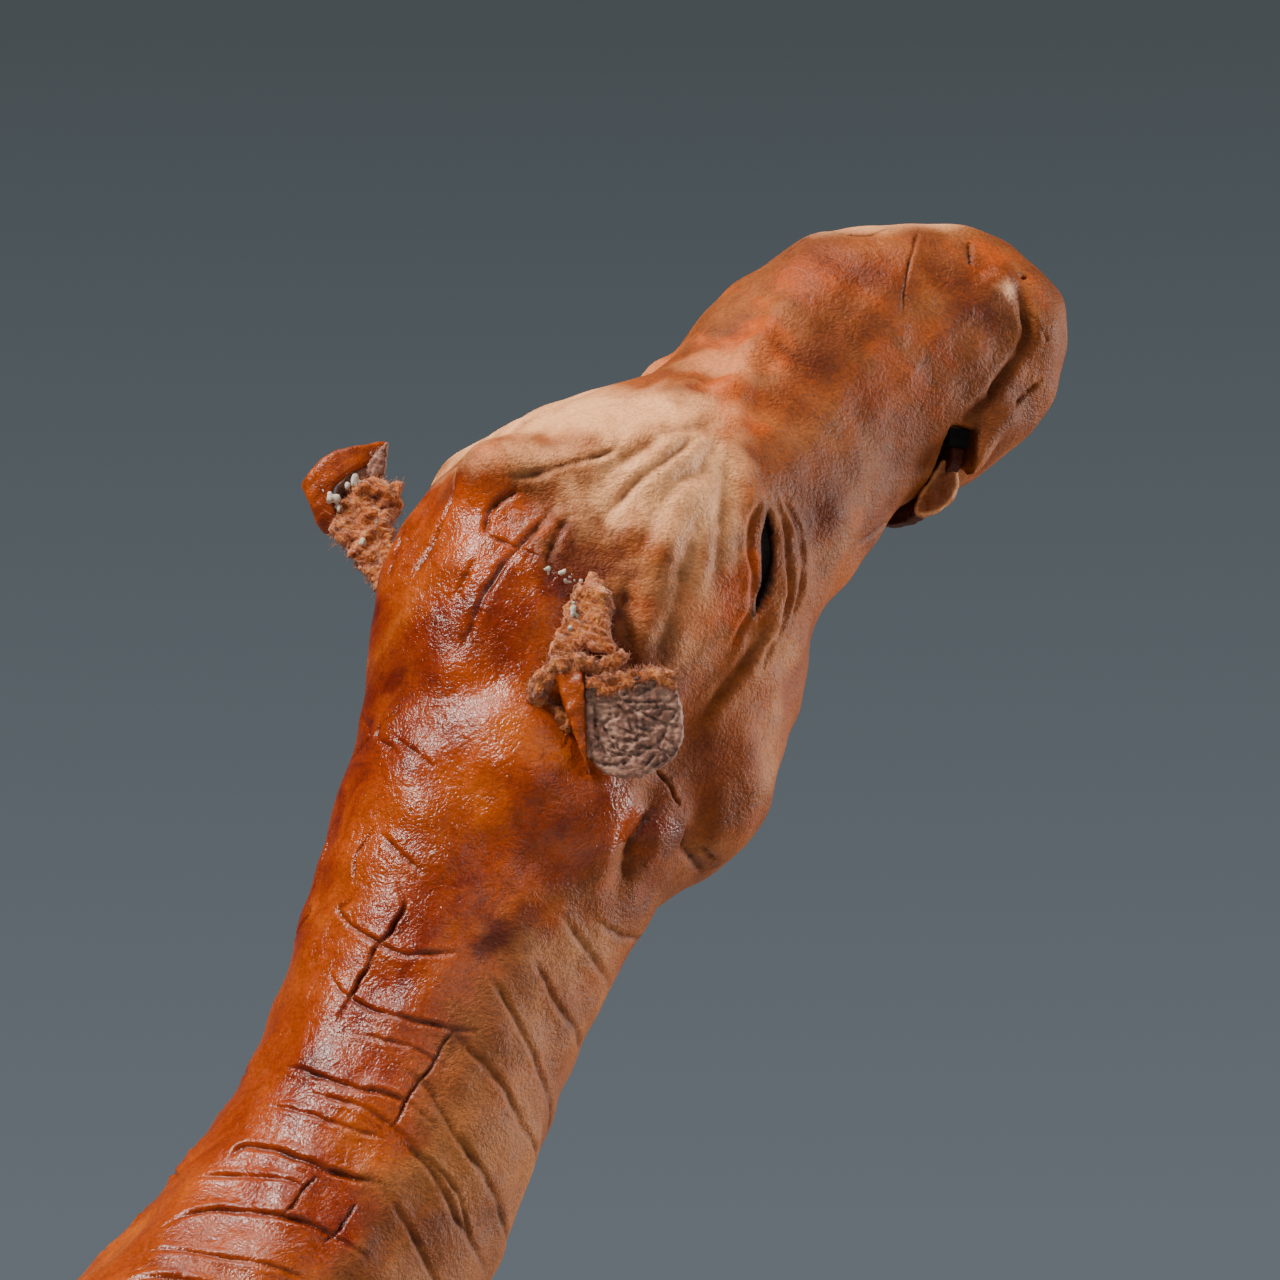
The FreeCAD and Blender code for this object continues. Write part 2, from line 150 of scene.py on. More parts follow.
class Paint:
    """Short ways to build one procedural material. Lengths are in mm."""

    def __init__(self, name):
        self.material = bpy.data.materials.new(name)
        self.material.use_nodes = True
        self.tree = self.material.node_tree
        self.shader = self.tree.nodes["Principled BSDF"]
        self.place = self.add("TexCoord").outputs["Object"]
        self.normal = None

    def add(self, kind, inputs=(), **settings):
        node = self.tree.nodes.new("ShaderNode" + kind)
        for key, value in settings.items():
            setattr(node, key, value)
        for key, value in dict(inputs).items():
            if isinstance(value, bpy.types.NodeSocket):
                self.tree.links.new(value, node.inputs[key])
            else:
                node.inputs[key].default_value = value
        return node

    def set(self, **values):
        """Plain numbers on the shader's own sockets."""
        for key, value in values.items():
            self.shader.inputs[key.replace("_", " ")].default_value = value

    def link(self, name, socket):
        self.tree.links.new(socket, self.shader.inputs[name])

    def colour(self, socket):
        self.link("Base Color", socket)

    def texture(self, kind, size, stretch, inputs, **settings):
        """A texture with features of about that size, drawn out along an axis by each number of stretch."""
        place = self.add("Mapping", {"Vector": self.place, "Scale": tuple(1 / s for s in stretch)})
        return self.add(kind, {"Vector": place.outputs[0], "Scale": 1 / (size * MM), **inputs}, **settings)

    def noise(self, size, detail=5, rough=0.6, stretch=(1, 1, 1), warp=0.0):
        """Cloudy noise."""
        inputs = {"Detail": detail, "Roughness": rough, "Distortion": warp}
        return self.texture("TexNoise", size, stretch, inputs).outputs["Fac"]

    def cells(self, size):
        """Round cells: 0 at their edges and rising inwards."""
        return self.texture("TexVoronoi", size, (1, 1, 1), {}, feature="DISTANCE_TO_EDGE").outputs["Distance"]

    def attribute(self, name):
        return self.add("Attribute", attribute_name=name).outputs["Fac"]

    def ramp(self, amount, stops):
        """Amount through a colour ramp. Each stop is a position and a screen colour, or a grey of 0 to 1."""
        node = self.add("ValToRGB", {"Fac": amount})
        bar = node.color_ramp.elements
        while len(bar) < len(stops):
            bar.new(0.5)
        for element, (position, value) in zip(bar, stops):
            element.position = position
            element.color = linear(*value) if isinstance(value, tuple) else (value, value, value, 1)
        return node.outputs["Color"]

    def math(self, what, a, b=0.5):
        return self.add("Math", {0: a, 1: b}, operation=what).outputs[0]

    def mix(self, amount, first, second, how="MIX"):
        node = self.add("Mix", data_type="RGBA", blend_type=how)
        for index, value in ((0, amount), (6, first), (7, second)):
            if isinstance(value, bpy.types.NodeSocket):
                self.tree.links.new(value, node.inputs[index])
            elif isinstance(value, tuple):
                node.inputs[index].default_value = linear(*value)
            else:
                node.inputs[index].default_value = value
        return node.outputs[2]

    def colour_where(self, tone, name, strength, colour):
        """Another colour where an amount of the mesh says so."""
        return self.mix(self.math("MULTIPLY", self.attribute(name), strength), tone, colour)

    def speckle(self, tone, share, pattern, stops):
        """A colour darkened by a pattern of greys."""
        return self.mix(share, tone, self.ramp(pattern, stops), "MULTIPLY")

    def bump(self, height, depth, strength=1.0):
        """Adds relief of that depth in mm, on top of what is there."""
        inputs = {"Height": height, "Distance": depth * MM, "Strength": strength}
        if self.normal is not None:
            inputs["Normal"] = self.normal
        self.normal = self.add("Bump", inputs).outputs["Normal"]
        self.link("Normal", self.normal)


def hide_paint():
    """Dyed, burnished and worn leather. The meshes carry amounts for gloss, rust, stains with painted shade,
    pale wear with painted highlights, and painted shade in lines.
    """
    paint = Paint("hide")
    gloss = paint.attribute("gloss")
    clouds = paint.noise(15, detail=6, warp=0.8)
    blots = paint.noise(4.5, detail=7, rough=0.7, warp=1.4)
    grain = paint.noise(0.44, detail=2, stretch=(1.3, 1.3, 1))
    matte = paint.ramp(clouds, [(0.3, (104, 50, 20)), (0.5, (136, 73, 33)), (0.7, (162, 97, 50))])
    bright = paint.ramp(clouds, [(0.28, (74, 17, 2)), (0.42, (128, 44, 6)), (0.58, (154, 66, 12)),
                                 (0.75, (184, 94, 28))])
    tone = paint.mix(gloss, matte, bright)
    tone = paint.colour_where(tone, "rust", 0.8, (186, 78, 8))
    # pale dusty wear, and painted highlights on the brow, forehead and snout top
    tone = paint.colour_where(tone, "dust_and_highlight", 0.9, (255, 180, 124))
    tone = paint.speckle(tone, 0.5, blots, [(0.3, 0.42), (0.44, 0.85), (0.6, 1.0)])
    # dark stains, and painted shade by the ear's root, in hollows and over the mouth's flap
    tone = paint.colour_where(tone, "shade", 0.85, (84, 22, 5))
    # painted shade in creases, cracks and the openings of the eye and mouth
    tone = paint.mix(paint.attribute("line"), tone, (40, 12, 5))
    paint.colour(paint.speckle(tone, 0.45, grain, [(0.34, 0.4), (0.6, 1.0)]))
    matte_rough = paint.ramp(blots, [(0.3, 0.5), (0.7, 0.64)])
    gloss_rough = paint.ramp(blots, [(0.3, 0.18), (0.7, 0.32)])
    paint.link("Roughness", paint.mix(gloss, matte_rough, gloss_rough))
    paint.link("Specular IOR Level", paint.ramp(gloss, [(0.0, 0.2), (1.0, 0.36)]))
    paint.bump(paint.noise(3.2, detail=4, warp=1.0), 0.4, 0.8)
    paint.bump(paint.math("MULTIPLY", grain, paint.ramp(gloss, [(0.0, 1.0), (1.0, 0.4)])), 0.22, 1.0)
    paint.bump(paint.ramp(paint.cells(0.6), [(0.0, 0.0), (0.16, 1.0)]), 0.04, 0.5)
    return paint.material


# ---------------------------------------------------------------- modelling in clay, in mm

class Clay:
    """A signed distance in mm on a regular grid, joined and carved like clay and then meshed."""

    def __init__(self, low, high, step, band=10):
        self.step, self.band = step, band
        self.start = tuple(int(math.floor(v / step)) for v in low)
        self.size = tuple(int(math.ceil(v / step)) - s + 1 for v, s in zip(high, self.start))
        self.transform = openvdb.createLinearTransform(voxelSize=step)
        self.field = np.full(self.size, band * step, np.float32)

    def axes(self, window):
        """The x, y and z coordinates of a window of the grid, ready to broadcast."""
        found = []
        for axis in range(3):
            line = (np.arange(window[axis].start, window[axis].stop) + self.start[axis]) * self.step
            shape = [1, 1, 1]
            shape[axis] = -1
            found.append(line.astype(np.float32).reshape(shape))
        return found

    def window(self, low, high):
        slices = []
        for axis in range(3):
            first = int(low[axis] / self.step) - self.start[axis]
            last = int(high[axis] / self.step) - self.start[axis] + 2
            slices.append(slice(max(0, first), max(1, min(self.size[axis], last))))
        return tuple(slices)

    def whole(self):
        return tuple(slice(0, n) for n in self.size)

    def add_node(self, name, join=0.0):
        """Joins one CAD node to the clay."""
        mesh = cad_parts[name].data
        mesh.calc_loop_triangles()
        points = np.empty(len(mesh.vertices) * 3, np.float32)
        mesh.vertices.foreach_get("co", points)
        triangles = np.empty(len(mesh.loop_triangles) * 3, np.int32)
        mesh.loop_triangles.foreach_get("vertices", triangles)
        grid = openvdb.FloatGrid.createLevelSetFromPolygons(
            points.reshape(-1, 3) / MM, triangles=triangles.reshape(-1, 3).astype(np.uint32),
            transform=self.transform, halfWidth=self.band)
        part = np.empty(self.size, np.float32)
        grid.copyToArray(part, ijk=self.start)
        self.field = smooth_least(self.field, part, join)

    def swell(self, thickness):
        self.field -= np.float32(thickness)

    def apply(self, low, high, shape, blend, carve=False):
        """Joins to the clay, or carves from it, a shape given as a function of x, y and z."""
        window = self.window([v - 2 * blend for v in low], [v + 2 * blend for v in high])
        other = shape(*self.axes(window))
        here = self.field[window]
        if carve:
            self.field[window] = -smooth_least(-here, other, blend)
        else:
            self.field[window] = smooth_least(here, other, blend)

    def ball(self, centre, radii, blend=3.0, carve=False, sides=(RIGHT, LEFT), turn=0.0):
        """An ellipsoid. Unless y is 0 it is made on each side asked for. Turn leans it in the side view."""
        sides = sides if centre[1] else (LEFT,)
        c, s = math.cos(math.radians(turn)), math.sin(math.radians(turn))
        for side in sides:
            def shape(x, y, z):
                u, w = x - centre[0], z - centre[2]
                along, up, across = u * c + w * s, w * c - u * s, y - side * centre[1]
                inner, outer = (np.sqrt((along / radii[0] ** n) ** 2 + (across / radii[1] ** n) ** 2
                                        + (up / radii[2] ** n) ** 2) for n in (1, 2))
                return (inner * (inner - 1) / np.maximum(outer, 1e-6)).astype(np.float32)

            reach = max(radii)
            middle = (centre[0], side * centre[1], centre[2])
            self.apply([v - reach for v in middle], [v + reach for v in middle], shape, blend, carve)

    def rope(self, points, radius, blend=1.5, carve=False, sides=(RIGHT, LEFT), ends=1.0):
        """A round rope along points, thinner towards its ends where ends is under 1."""
        last = len(points) - 1
        for side in sides:
            for index in range(last):
                a = np.array(points[index]) * (1, side, 1)
                b = np.array(points[index + 1]) * (1, side, 1)
                ra, rb = (radius * (ends if i in (0, last) else 1) for i in (index, index + 1))
                reach = max(ra, rb)
                low, high = np.minimum(a, b) - reach, np.maximum(a, b) + reach
                self.apply(low, high, lambda x, y, z: capsule(x, y, z, a, b, ra, rb), blend, carve)

    def keep(self, distance):
        """Keeps the clay where the given function of x, y and z is below 0."""
        self.field = np.maximum(self.field, distance(*self.axes(self.whole())))

    def tuck_under(self, cut, way, start, run, depth):
        """Thins the clay towards its front end, which runs just under the next piece."""
        forward = (self.axes(self.whole())[0] - cut[0]) * way[0]
        self.field += np.clip((forward + start) / run, 0, 1).astype(np.float32) * depth

    def surface(self):
        """The points and outward-facing triangles of the clay's skin."""
        grid = openvdb.FloatGrid()
        grid.copyFromArray(self.field, ijk=self.start)
        grid.transform = self.transform
        points, quads = grid.convertToQuads(isovalue=0.0)
        points, quads = np.array(points, float), np.array(quads, int)
        corners = points[quads]
        volume = np.einsum("ij,ij->i", corners[:, 0], np.cross(corners[:, 1], corners[:, 2])).sum()
        if volume < 0:
            quads = quads[:, ::-1]
        return points, np.vstack([quads[:, [0, 1, 2]], quads[:, [0, 2, 3]]])

    def skin(self, seed=0, *waves):
        """The clay's surface as a skin. Each wave makes it uneven and is a height and a size."""
        skin = Skin(*self.surface())
        skin.roughen(seed, *waves)
        return skin


def read_at(clay, field, points):
    """The value of one of the clay's fields at each point, read between its cells."""
    place = points / clay.step - clay.start
    base = np.clip(place.astype(int), 0, np.array(field.shape) - 2)
    part = place - base
    value = np.zeros(len(points))
    for corner in np.ndindex(2, 2, 2):
        weight = np.prod(np.where(corner, part, 1 - part), 1)
        value += weight * field[tuple((base + corner).T)]
    return value


def smooth_least(a, b, blend):
    """The lesser of two distances, with a fillet of about that radius between them."""
    if blend <= 0:
        return np.minimum(a, b)
    share = np.clip(0.5 + 0.5 * (b - a) / blend, 0, 1)
    return b + (a - b) * share - blend * share * (1 - share)


def capsule(x, y, z, a, b, ra, rb):
    """Distance to a round bar from a to b that tapers from radius ra to rb."""
    way = b - a
    length = max(float(way @ way), 1e-9)
    t = np.clip(((x - a[0]) * way[0] + (y - a[1]) * way[1] + (z - a[2]) * way[2]) / length, 0, 1)
    gap = np.sqrt((x - a[0] - t * way[0]) ** 2 + (y - a[1] - t * way[1]) ** 2 + (z - a[2] - t * way[2]) ** 2)
    return (gap - (ra + (rb - ra) * t)).astype(np.float32)


class Skin:
    """A mesh in mm whose points can be pushed along their normals and given amounts for the materials."""

    def __init__(self, points, faces):
        self.points, self.faces = points, faces
        self.amounts = {}
        self.find_normals()

    def find_normals(self):
        p, f = self.points, self.faces
        across = np.cross(p[f[:, 1]] - p[f[:, 0]], p[f[:, 2]] - p[f[:, 0]])
        normals = np.zeros_like(p)
        for corner in range(3):
            for axis in range(3):
                normals[:, axis] += np.bincount(f[:, corner], across[:, axis], len(p))
        self.normals = normals / np.maximum(np.linalg.norm(normals, axis=1, keepdims=True), 1e-12)

    def amount(self, name):
        return self.amounts.setdefault(name, np.zeros(len(self.points)))

    def push(self, distance):
        self.points = self.points + self.normals * np.asarray(distance)[:, None]
        self.find_normals()

    def roughen(self, seed, *waves):
        """Makes the skin uneven. Each wave is a height and a size, with its own seed."""
        if waves:
            self.push(sum(height * wander(self.points, size, seed + index)
                          for index, (height, size) in enumerate(waves)))

    def laid(self, rough, unrest=FOLD_UNREST):
        """A line over the skin through rough places near it; unrest, in mm, is how far it wavers."""
        line = curve_through(rough, 0.3)
        line += unrest * np.stack([wander(line, 3.2, seed) for seed in (41, 42, 43)], 1)
        reach = 4
        near = np.all((self.points > line.min(0) - reach) & (self.points < line.max(0) + reach), 1)
        spots, ways = self.points[near], self.normals[near]
        if not len(spots):
            return line
        for start in range(0, len(line), 50):
            part = line[start:start + 50]
            index = ((part[:, None] - spots[None]) ** 2).sum(2).argmin(1)
            height = ((part - spots[index]) * ways[index]).sum(1, keepdims=True)
            line[start:start + 50] = part - ways[index] * height
        for _ in range(8):
            line[1:-1] = (line[:-2] + 2 * line[1:-1] + line[2:]) / 4
        return line

    def refine(self, lines, reach):
        """Halves the mesh along lines on the skin, so that fine creases come out crisp."""
        tree = KDTree(len(self.points))
        for index, point in enumerate(self.points):
            tree.insert(point, index)
        tree.balance()
        marked = np.zeros(len(self.points), bool)
        for line in lines:
            for point in line[::2]:
                marked[[found[1] for found in tree.find_range(point, reach)]] = True
        mesh = plain_mesh("refining", self.points, self.faces)
        shape = bmesh.new()
        shape.from_mesh(mesh)
        shape.verts.ensure_lookup_table()
        edges = [e for e in shape.edges if marked[e.verts[0].index] and marked[e.verts[1].index]]
        bmesh.ops.subdivide_edges(shape, edges=edges, cuts=1, use_grid_fill=True)
        bmesh.ops.triangulate(shape, faces=[f for f in shape.faces if len(f.verts) > 3])
        shape.to_mesh(mesh)
        shape.free()
        points = np.empty(len(mesh.vertices) * 3, np.float32)
        mesh.vertices.foreach_get("co", points)
        faces = np.empty(len(mesh.polygons) * 3, np.int32)
        mesh.polygons.foreach_get("vertices", faces)
        bpy.data.meshes.remove(mesh)
        self.points, self.faces = points.reshape(-1, 3).astype(float), faces.reshape(-1, 3)
        self.amounts = {}
        self.find_normals()

    def crease(self, line, depth, width, lip=0.0, dark=0.5, fold=0.0, fade=0.2):
        """Presses a line into the skin, with depth and width in mm. Lip is how high its edges rise, fold is
        how far one side stands above the other, and fade is the share of each end that dies away."""
        reach = 7 * width + 1
        near = np.all((self.points > line.min(0) - reach) & (self.points < line.max(0) + reach), 1)
        chosen = np.nonzero(near)[0]
        if not len(chosen):
            return
        spots = self.points[chosen]
        best = np.full(len(chosen), 1e9)
        nearest = np.zeros(len(chosen), int)
        for start in range(0, len(line), 40):
            gaps = ((spots[:, None] - line[None, start:start + 40]) ** 2).sum(2)
            index = gaps.argmin(1)
            value = gaps[np.arange(len(chosen)), index]
            better = value < best
            best[better] = value[better]
            nearest[better] = index[better] + start
        gap = np.sqrt(best)
        along = nearest / (len(line) - 1)
        uneven = 1 + 0.25 * np.sin(along * 17 + line[0, 0]) + 0.15 * np.sin(along * 41 + line[0, 2])
        strength = np.clip(np.minimum(along, 1 - along) / fade, 0, 1) ** 0.7 * uneven
        way = np.gradient(line, axis=0)
        side = np.einsum("ij,ij->i", np.cross(self.normals[chosen], way[nearest]), spots - line[nearest])
        groove = np.exp(-(gap / width) ** 2)
        ridge = np.exp(-((gap - 2.2 * width) / (1.3 * width)) ** 2)
        step = np.where(side > 0, np.exp(-gap / (3 * width)), 0)
        move = strength * (-depth * groove + lip * ridge + fold * step * (1 - groove))
        self.points[chosen] += self.normals[chosen] * move[:, None]
        # painted shade along the groove, as strong as dark asks
        groove_shade = strength * dark * np.exp(-(gap / width / 0.8) ** 2)
        painted_line_shade = self.amount("line")
        painted_line_shade[chosen] = np.maximum(painted_line_shade[chosen], groove_shade)

    def patch(self, name, centre, radii, value, noise=0.5, seed=0):
        """Raises an amount in a soft, ragged patch round a place."""
        gap = np.linalg.norm((self.points - centre) / radii, axis=1)
        coarse = wander(self.points, max(radii) * 0.8, seed)
        gap += noise * (coarse + 0.5 * wander(self.points, max(radii) * 0.3, seed + 1))
        self.amount(name)[:] += value * np.clip(1.3 - gap, 0, 1)

    def build(self, name, material, replaced=(), slot="hide", place=None):
        """The finished piece, in metres; place turns the skin's own frame into the object's."""
        points = self.points if place is None else place(self.points)
        mesh = plain_mesh(name, points * MM, self.faces)
        mesh.shade_smooth()
        for key in ("gloss", "rust", "shade", "dust_and_highlight", "line"):
            values = np.clip(self.amount(key), 0, 1).astype(np.float32)
            mesh.attributes.new(key, "FLOAT", "POINT").data.foreach_set("value", values)
        return finished(mesh, name, material, replaced)


def plain_mesh(name, points, triangles):
    mesh = bpy.data.meshes.new(name)
    mesh.vertices.add(len(points))
    mesh.vertices.foreach_set("co", np.asarray(points, np.float32).ravel())
    mesh.loops.add(triangles.size)
    mesh.loops.foreach_set("vertex_index", triangles.astype(np.int32).ravel())
    mesh.polygons.add(len(triangles))
    mesh.polygons.foreach_set("loop_start", np.arange(len(triangles), dtype=np.int32) * 3)
    mesh.update(calc_edges=True)
    return mesh


def finished(mesh, name, material, replaced=()):
    """Adds a mesh to the statue as a piece that rides on its one body."""
    mesh.materials.append(material)
    piece = bpy.data.objects.new(name, mesh)
    bpy.context.scene.collection.objects.link(piece)
    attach(piece, "root")
    if replaced:
        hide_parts(*replaced)
    return piece


def curve_through(points, step):
    """A smooth line through points, cut into short steps."""
    p = np.array(points, float)
    p = np.vstack([2 * p[0] - p[1], p, 2 * p[-1] - p[-2]])
    out = []
    for i in range(1, len(p) - 2):
        count = max(2, int(np.linalg.norm(p[i + 1] - p[i]) / step))
        t = np.linspace(0, 1, count, endpoint=False)[:, None]
        out.append(0.5 * (2 * p[i] + (p[i + 1] - p[i - 1]) * t
                          + (2 * p[i - 1] - 5 * p[i] + 4 * p[i + 1] - p[i + 2]) * t ** 2
                          + (3 * p[i] - p[i - 1] - 3 * p[i + 1] + p[i + 2]) * t ** 3))
    return np.vstack(out + [p[-2:-1]])


def wander(points, size, seed):
    """A smooth random value between about -1 and 1, with waves of about that size."""
    random = np.random.RandomState(seed)
    total = np.zeros(len(points))
    for _ in range(7):
        way = random.normal(size=3)
        way *= 2 * math.pi / size / np.linalg.norm(way) * random.uniform(0.6, 1.3)
        total += np.sin(points @ way + random.uniform(0, 2 * math.pi))
    return total / 2.6


# ---------------------------------------------------------------- the hides

def numbers(text):
    """One tuple of numbers for each line of a table."""
    return [tuple(map(float, line.split())) for line in text.split("\n") if line]


def places(text):
    """Points from their coordinates, with a comma between one point and the next."""
    return [tuple(map(float, point.split())) for point in text.split(",")]


def creases(text):
    """A table of creases, in mm: depth, width, lip, darkness of the shade painted in the groove, and fold,
    then the points on either side.
    """
    rows = [line.split("|") for line in text.split("\n") if line]
    return [(*map(float, style.split()), places(line)) for style, line in rows]


NECK_CUT = np.array((135.0, 0.0, 727.0))
NECK_WAY = np.array((0.683, 0.0, 0.730))
BASE_CUT = np.array((-30.0, 0.0, 545.0))
BASE_WAY = np.array((0.62, 0.0, 0.785))
# how far each piece of hide runs past its cut, where its hem is at the feet, and where the head begins
HEAD_OVERLAP, NECK_OVERLAP, BODY_OVERLAP = 3, 4, 6
HEM, HEAD_BOTTOM = 27, 780
THINNEST_HIDE, CLEAR_OF_WOOD = 0.45, 0.3
# where the neck's dye turns into the body's, and the worn band at the knees
SHOULDER_BLEND = 40
KNEE_HEIGHT, KNEE_SPREAD = 186, 22

MOUTH = (258.3, 0.0, 859.0)
MOUTH_WAY = (math.cos(math.radians(84)), math.sin(math.radians(84)))
MOUTH_DEPTH, MOUTH_HALF_GAP = 11.5, 1.9
EYE_MIDDLE = (221.5, 848.4)
EYE_HALF_HEIGHT, EYE_HALF_WIDTH, EYE_FACE = 7.2, 1.3, 20.6

# where the burnished leather ends, seen from the side: x at each z
GLOSS_X = (-45, -12, 30, 75, 120, 150, 166, 168.5, 177, 182, 186.5, 192, 203, 211, 202, 195, 193, 191,
           187, 180)
GLOSS_Z = (528, 562, 612, 662, 710, 742, 766, 774, 787, 795.5, 802.5, 807.5, 810.5, 813, 816, 822, 843, 849,
           858, 870)


def above(point, way):
    """A keep() rule: below 0 on the side of the plane that way points to."""
    return lambda *place: sum((p - v) * w for p, v, w in zip(point, place, way)).astype(np.float32)


def eye_gap(x, y, z):
    """Distance to the long slit that leaves the eye showing: a lens in the side view, as deep as the eye."""
    share = (z - EYE_MIDDLE[1]) / EYE_HALF_HEIGHT
    middle = EYE_MIDDLE[0] + 0.14 * (z - EYE_MIDDLE[1]) - 1.4 * share ** 2
    half = EYE_HALF_WIDTH * (1 - share ** 2)
    return np.maximum(np.abs(x - middle) - half, EYE_FACE - np.abs(y)).astype(np.float32)


def mouth_gap(x, y, z):
    """Distance to the slot across the muzzle."""
    deep = (x - MOUTH[0]) * MOUTH_WAY[0] + (z - MOUTH[2]) * MOUTH_WAY[1]
    aside = (x - MOUTH[0]) * MOUTH_WAY[1] - (z - MOUTH[2]) * MOUTH_WAY[0]
    return np.maximum(np.abs(aside) - MOUTH_HALF_GAP, np.abs(deep) - MOUTH_DEPTH).astype(np.float32) + 0 * y


def head_clay():
    """The core of the head and upper neck under a hide, with the head's swellings, hollows and openings.
    Gives the bare core's distances too."""
    clay = Clay((100, -36, 690), (292, 36, 914), 0.6)
    for name in ("head_core", "neck_core", "head_dowel", "eye_left", "eye_right"):
        clay.add_node(name)
    wood = clay.field.copy()
    clay.swell(LEATHER)
    clay.ball((208.5, 16, 850), (10, 9, 15), 5)
    clay.ball((203, 14, 861), (10, 8, 6.4), 5)
    clay.ball((190, 8.5, 859.5), (6, 6, 4.8), 4, sides=(RIGHT,))
    clay.ball((190, 13.5, 820), (8, 7, 9), 6)
    clay.ball((197, 14, 815), (11, 7, 8), 6)
    clay.ball((219, 8.5, 821), (10.5, 11.5, 12), 5)
    clay.ball((223, 6, 829), (7.5, 9, 8), 5)
    ridge = [(233, 9.5, 884.5), (227, 11, 878.5), (221, 15.6, 872), (217, 20.8, 863), (218.5, 22.8, 857)]
    clay.rope(ridge, 1.8, 2.2, ends=0.8)
    clay.rope([(224, 21.5, 856), (225, 21.6, 849), (222.6, 21.6, 841), (219, 21, 836)], 0.9, 1.0, ends=0.4)
    clay.ball((264, 13.4, 889.6), (4.4, 3.4, 3.4), 1.8, turn=35)
    clay.ball((271.5, 8, 886), (5.5, 8, 6.5), 3)
    clay.rope([(266, 14, 872), (261, 13.5, 866)], 2.2, 3)
    clay.ball((231, 27.5, 852), (9, 6.2, 12), 4, carve=True)
    clay.ball((261.5, 17.4, 894.0), (3.2, 2.6, 2.4), 1.5, carve=True)
    clay.rope([(219, 24.5, 838), (212, 24.6, 829), (207, 23.6, 822)], 2.4, 3, carve=True)
    clay.rope([(204.5, 22, 816), (203, 20.8, 810), (202, 20, 804)], 2.0, 3, carve=True)
    clay.rope([(214, 20, 816), (214, 17.5, 811), (219, 12, 807)], 1.4, 2, carve=True)
    clay.field = np.minimum(clay.field, wood - THINNEST_HIDE)
    for side in (RIGHT, LEFT):
        edge = side * 24
        clay.apply((214, edge - 4, 836), (227, edge + 4, 860), eye_gap, 0.25, carve=True)
    nostril = [(267.6, 16.2, 893.2), (269.2, 15.2, 892.4), (270.6, 13.6, 892)]
    clay.rope(nostril, 0.55, 0.2, carve=True, ends=0.5)
    clay.apply((240, -26, 845), (275, 26, 872), mouth_gap, 0.35, carve=True)
    clay.keep(above(NECK_CUT - HEAD_OVERLAP * NECK_WAY, NECK_WAY))
    return clay, wood


def both(points):
    """A crease on the right side and, a little further forward and lower, on the left."""
    points = np.array(points, float)
    points[:, 1] = np.abs(points[:, 1])
    return points * (1, RIGHT, 1), points + (0.8, 0, -0.6)


CRACKS = creases("""
1 0.32 0.12 1 0 | 173 11.5 805, 172 12 801, 170 11.5 797, 167 10 792.5, 164.5 9.5 787
0.6 0.26 0.08 0.9 0 | 177 18.5 787, 173.5 18 781.5, 167.5 18 773.5
0.6 0.26 0.08 0.9 0 | 158.5 15.5 768, 153.5 16 762.5
0.5 0.25 0.08 0.8 0 | 162.5 19 764, 157.5 19 759
0.5 0.3 0.1 0.7 0 | 171.5 5.5 812.5, 170 4 808.5, 169 5 805
0.8 0.35 0.1 1 0 | 205.5 21 820.5, 208 20.5 818, 210 19 815.5
0.5 0.26 0.1 0.6 0.3 | 236 3 892.5, 242 2.5 896.5, 248.5 7.5 897.5, 252.5 7 898.5
0.35 0.3 0.15 0.4 0.1 | 256 9 898.5, 252.5 12 894, 249.5 14.5 889, 248.5 15.5 885
""")
RINGS = creases("""
0.35 0.5 0.2 0.4 0.2 | 172 7 812, 173 10.5 809, 174.5 13.5 806.5
0.45 0.42 0.2 0.5 0.3 | 165.5 6 804.5, 168 3.5 801.5, 170.5 12.5 796.5, 174.5 16 796, 178 18 796.5
0.45 0.42 0.2 0.55 0.3 | 164 6 794.5, 166 9 790.5, 169.5 14.5 788, 175.5 17.5 786.5, 180 19 786
0.3 0.35 0.15 0.3 0.1 | 166 11 785.5, 171 17 784, 176 18.5 781
0.45 0.42 0.25 0.55 0.4 | 157.5 5 782.5, 160.5 8.5 781, 163.5 13.5 779, 169 17.5 777.5, 173 19 774
0.3 0.38 0.2 0.35 0.2 | 160 10 778, 166 16 775.5, 170.5 18.5 771.5
0.25 0.35 0.2 0.3 0.2 | 156 6 777, 161 13 774.5, 167 17.5 772
0.6 0.5 0.35 0.7 0.6 | 149.5 6 771.5, 153 6.5 771.5, 156.5 12.5 770, 160.5 17 768, 166 19.5 766.5
0.3 0.4 0.3 0.3 0.3 | 147 2 768, 152 10.5 768, 158 16.5 765
0.5 0.45 0.3 0.6 0.5 | 141 5 762, 147 8.5 763.5, 153 15.5 762.5, 158 18.5 760.5, 163 20.5 757
0.3 0.4 0.2 0.3 0.2 | 140 6 757.5, 148 15.5 757, 156 19.5 754
0.45 0.5 0.3 0.5 0.4 | 136 6 752, 141 10 753, 150 19 750, 158 21 744
0.45 0.6 0.3 0.4 0.3 | 127 7 743, 133 12 742, 144 20.5 738
""")
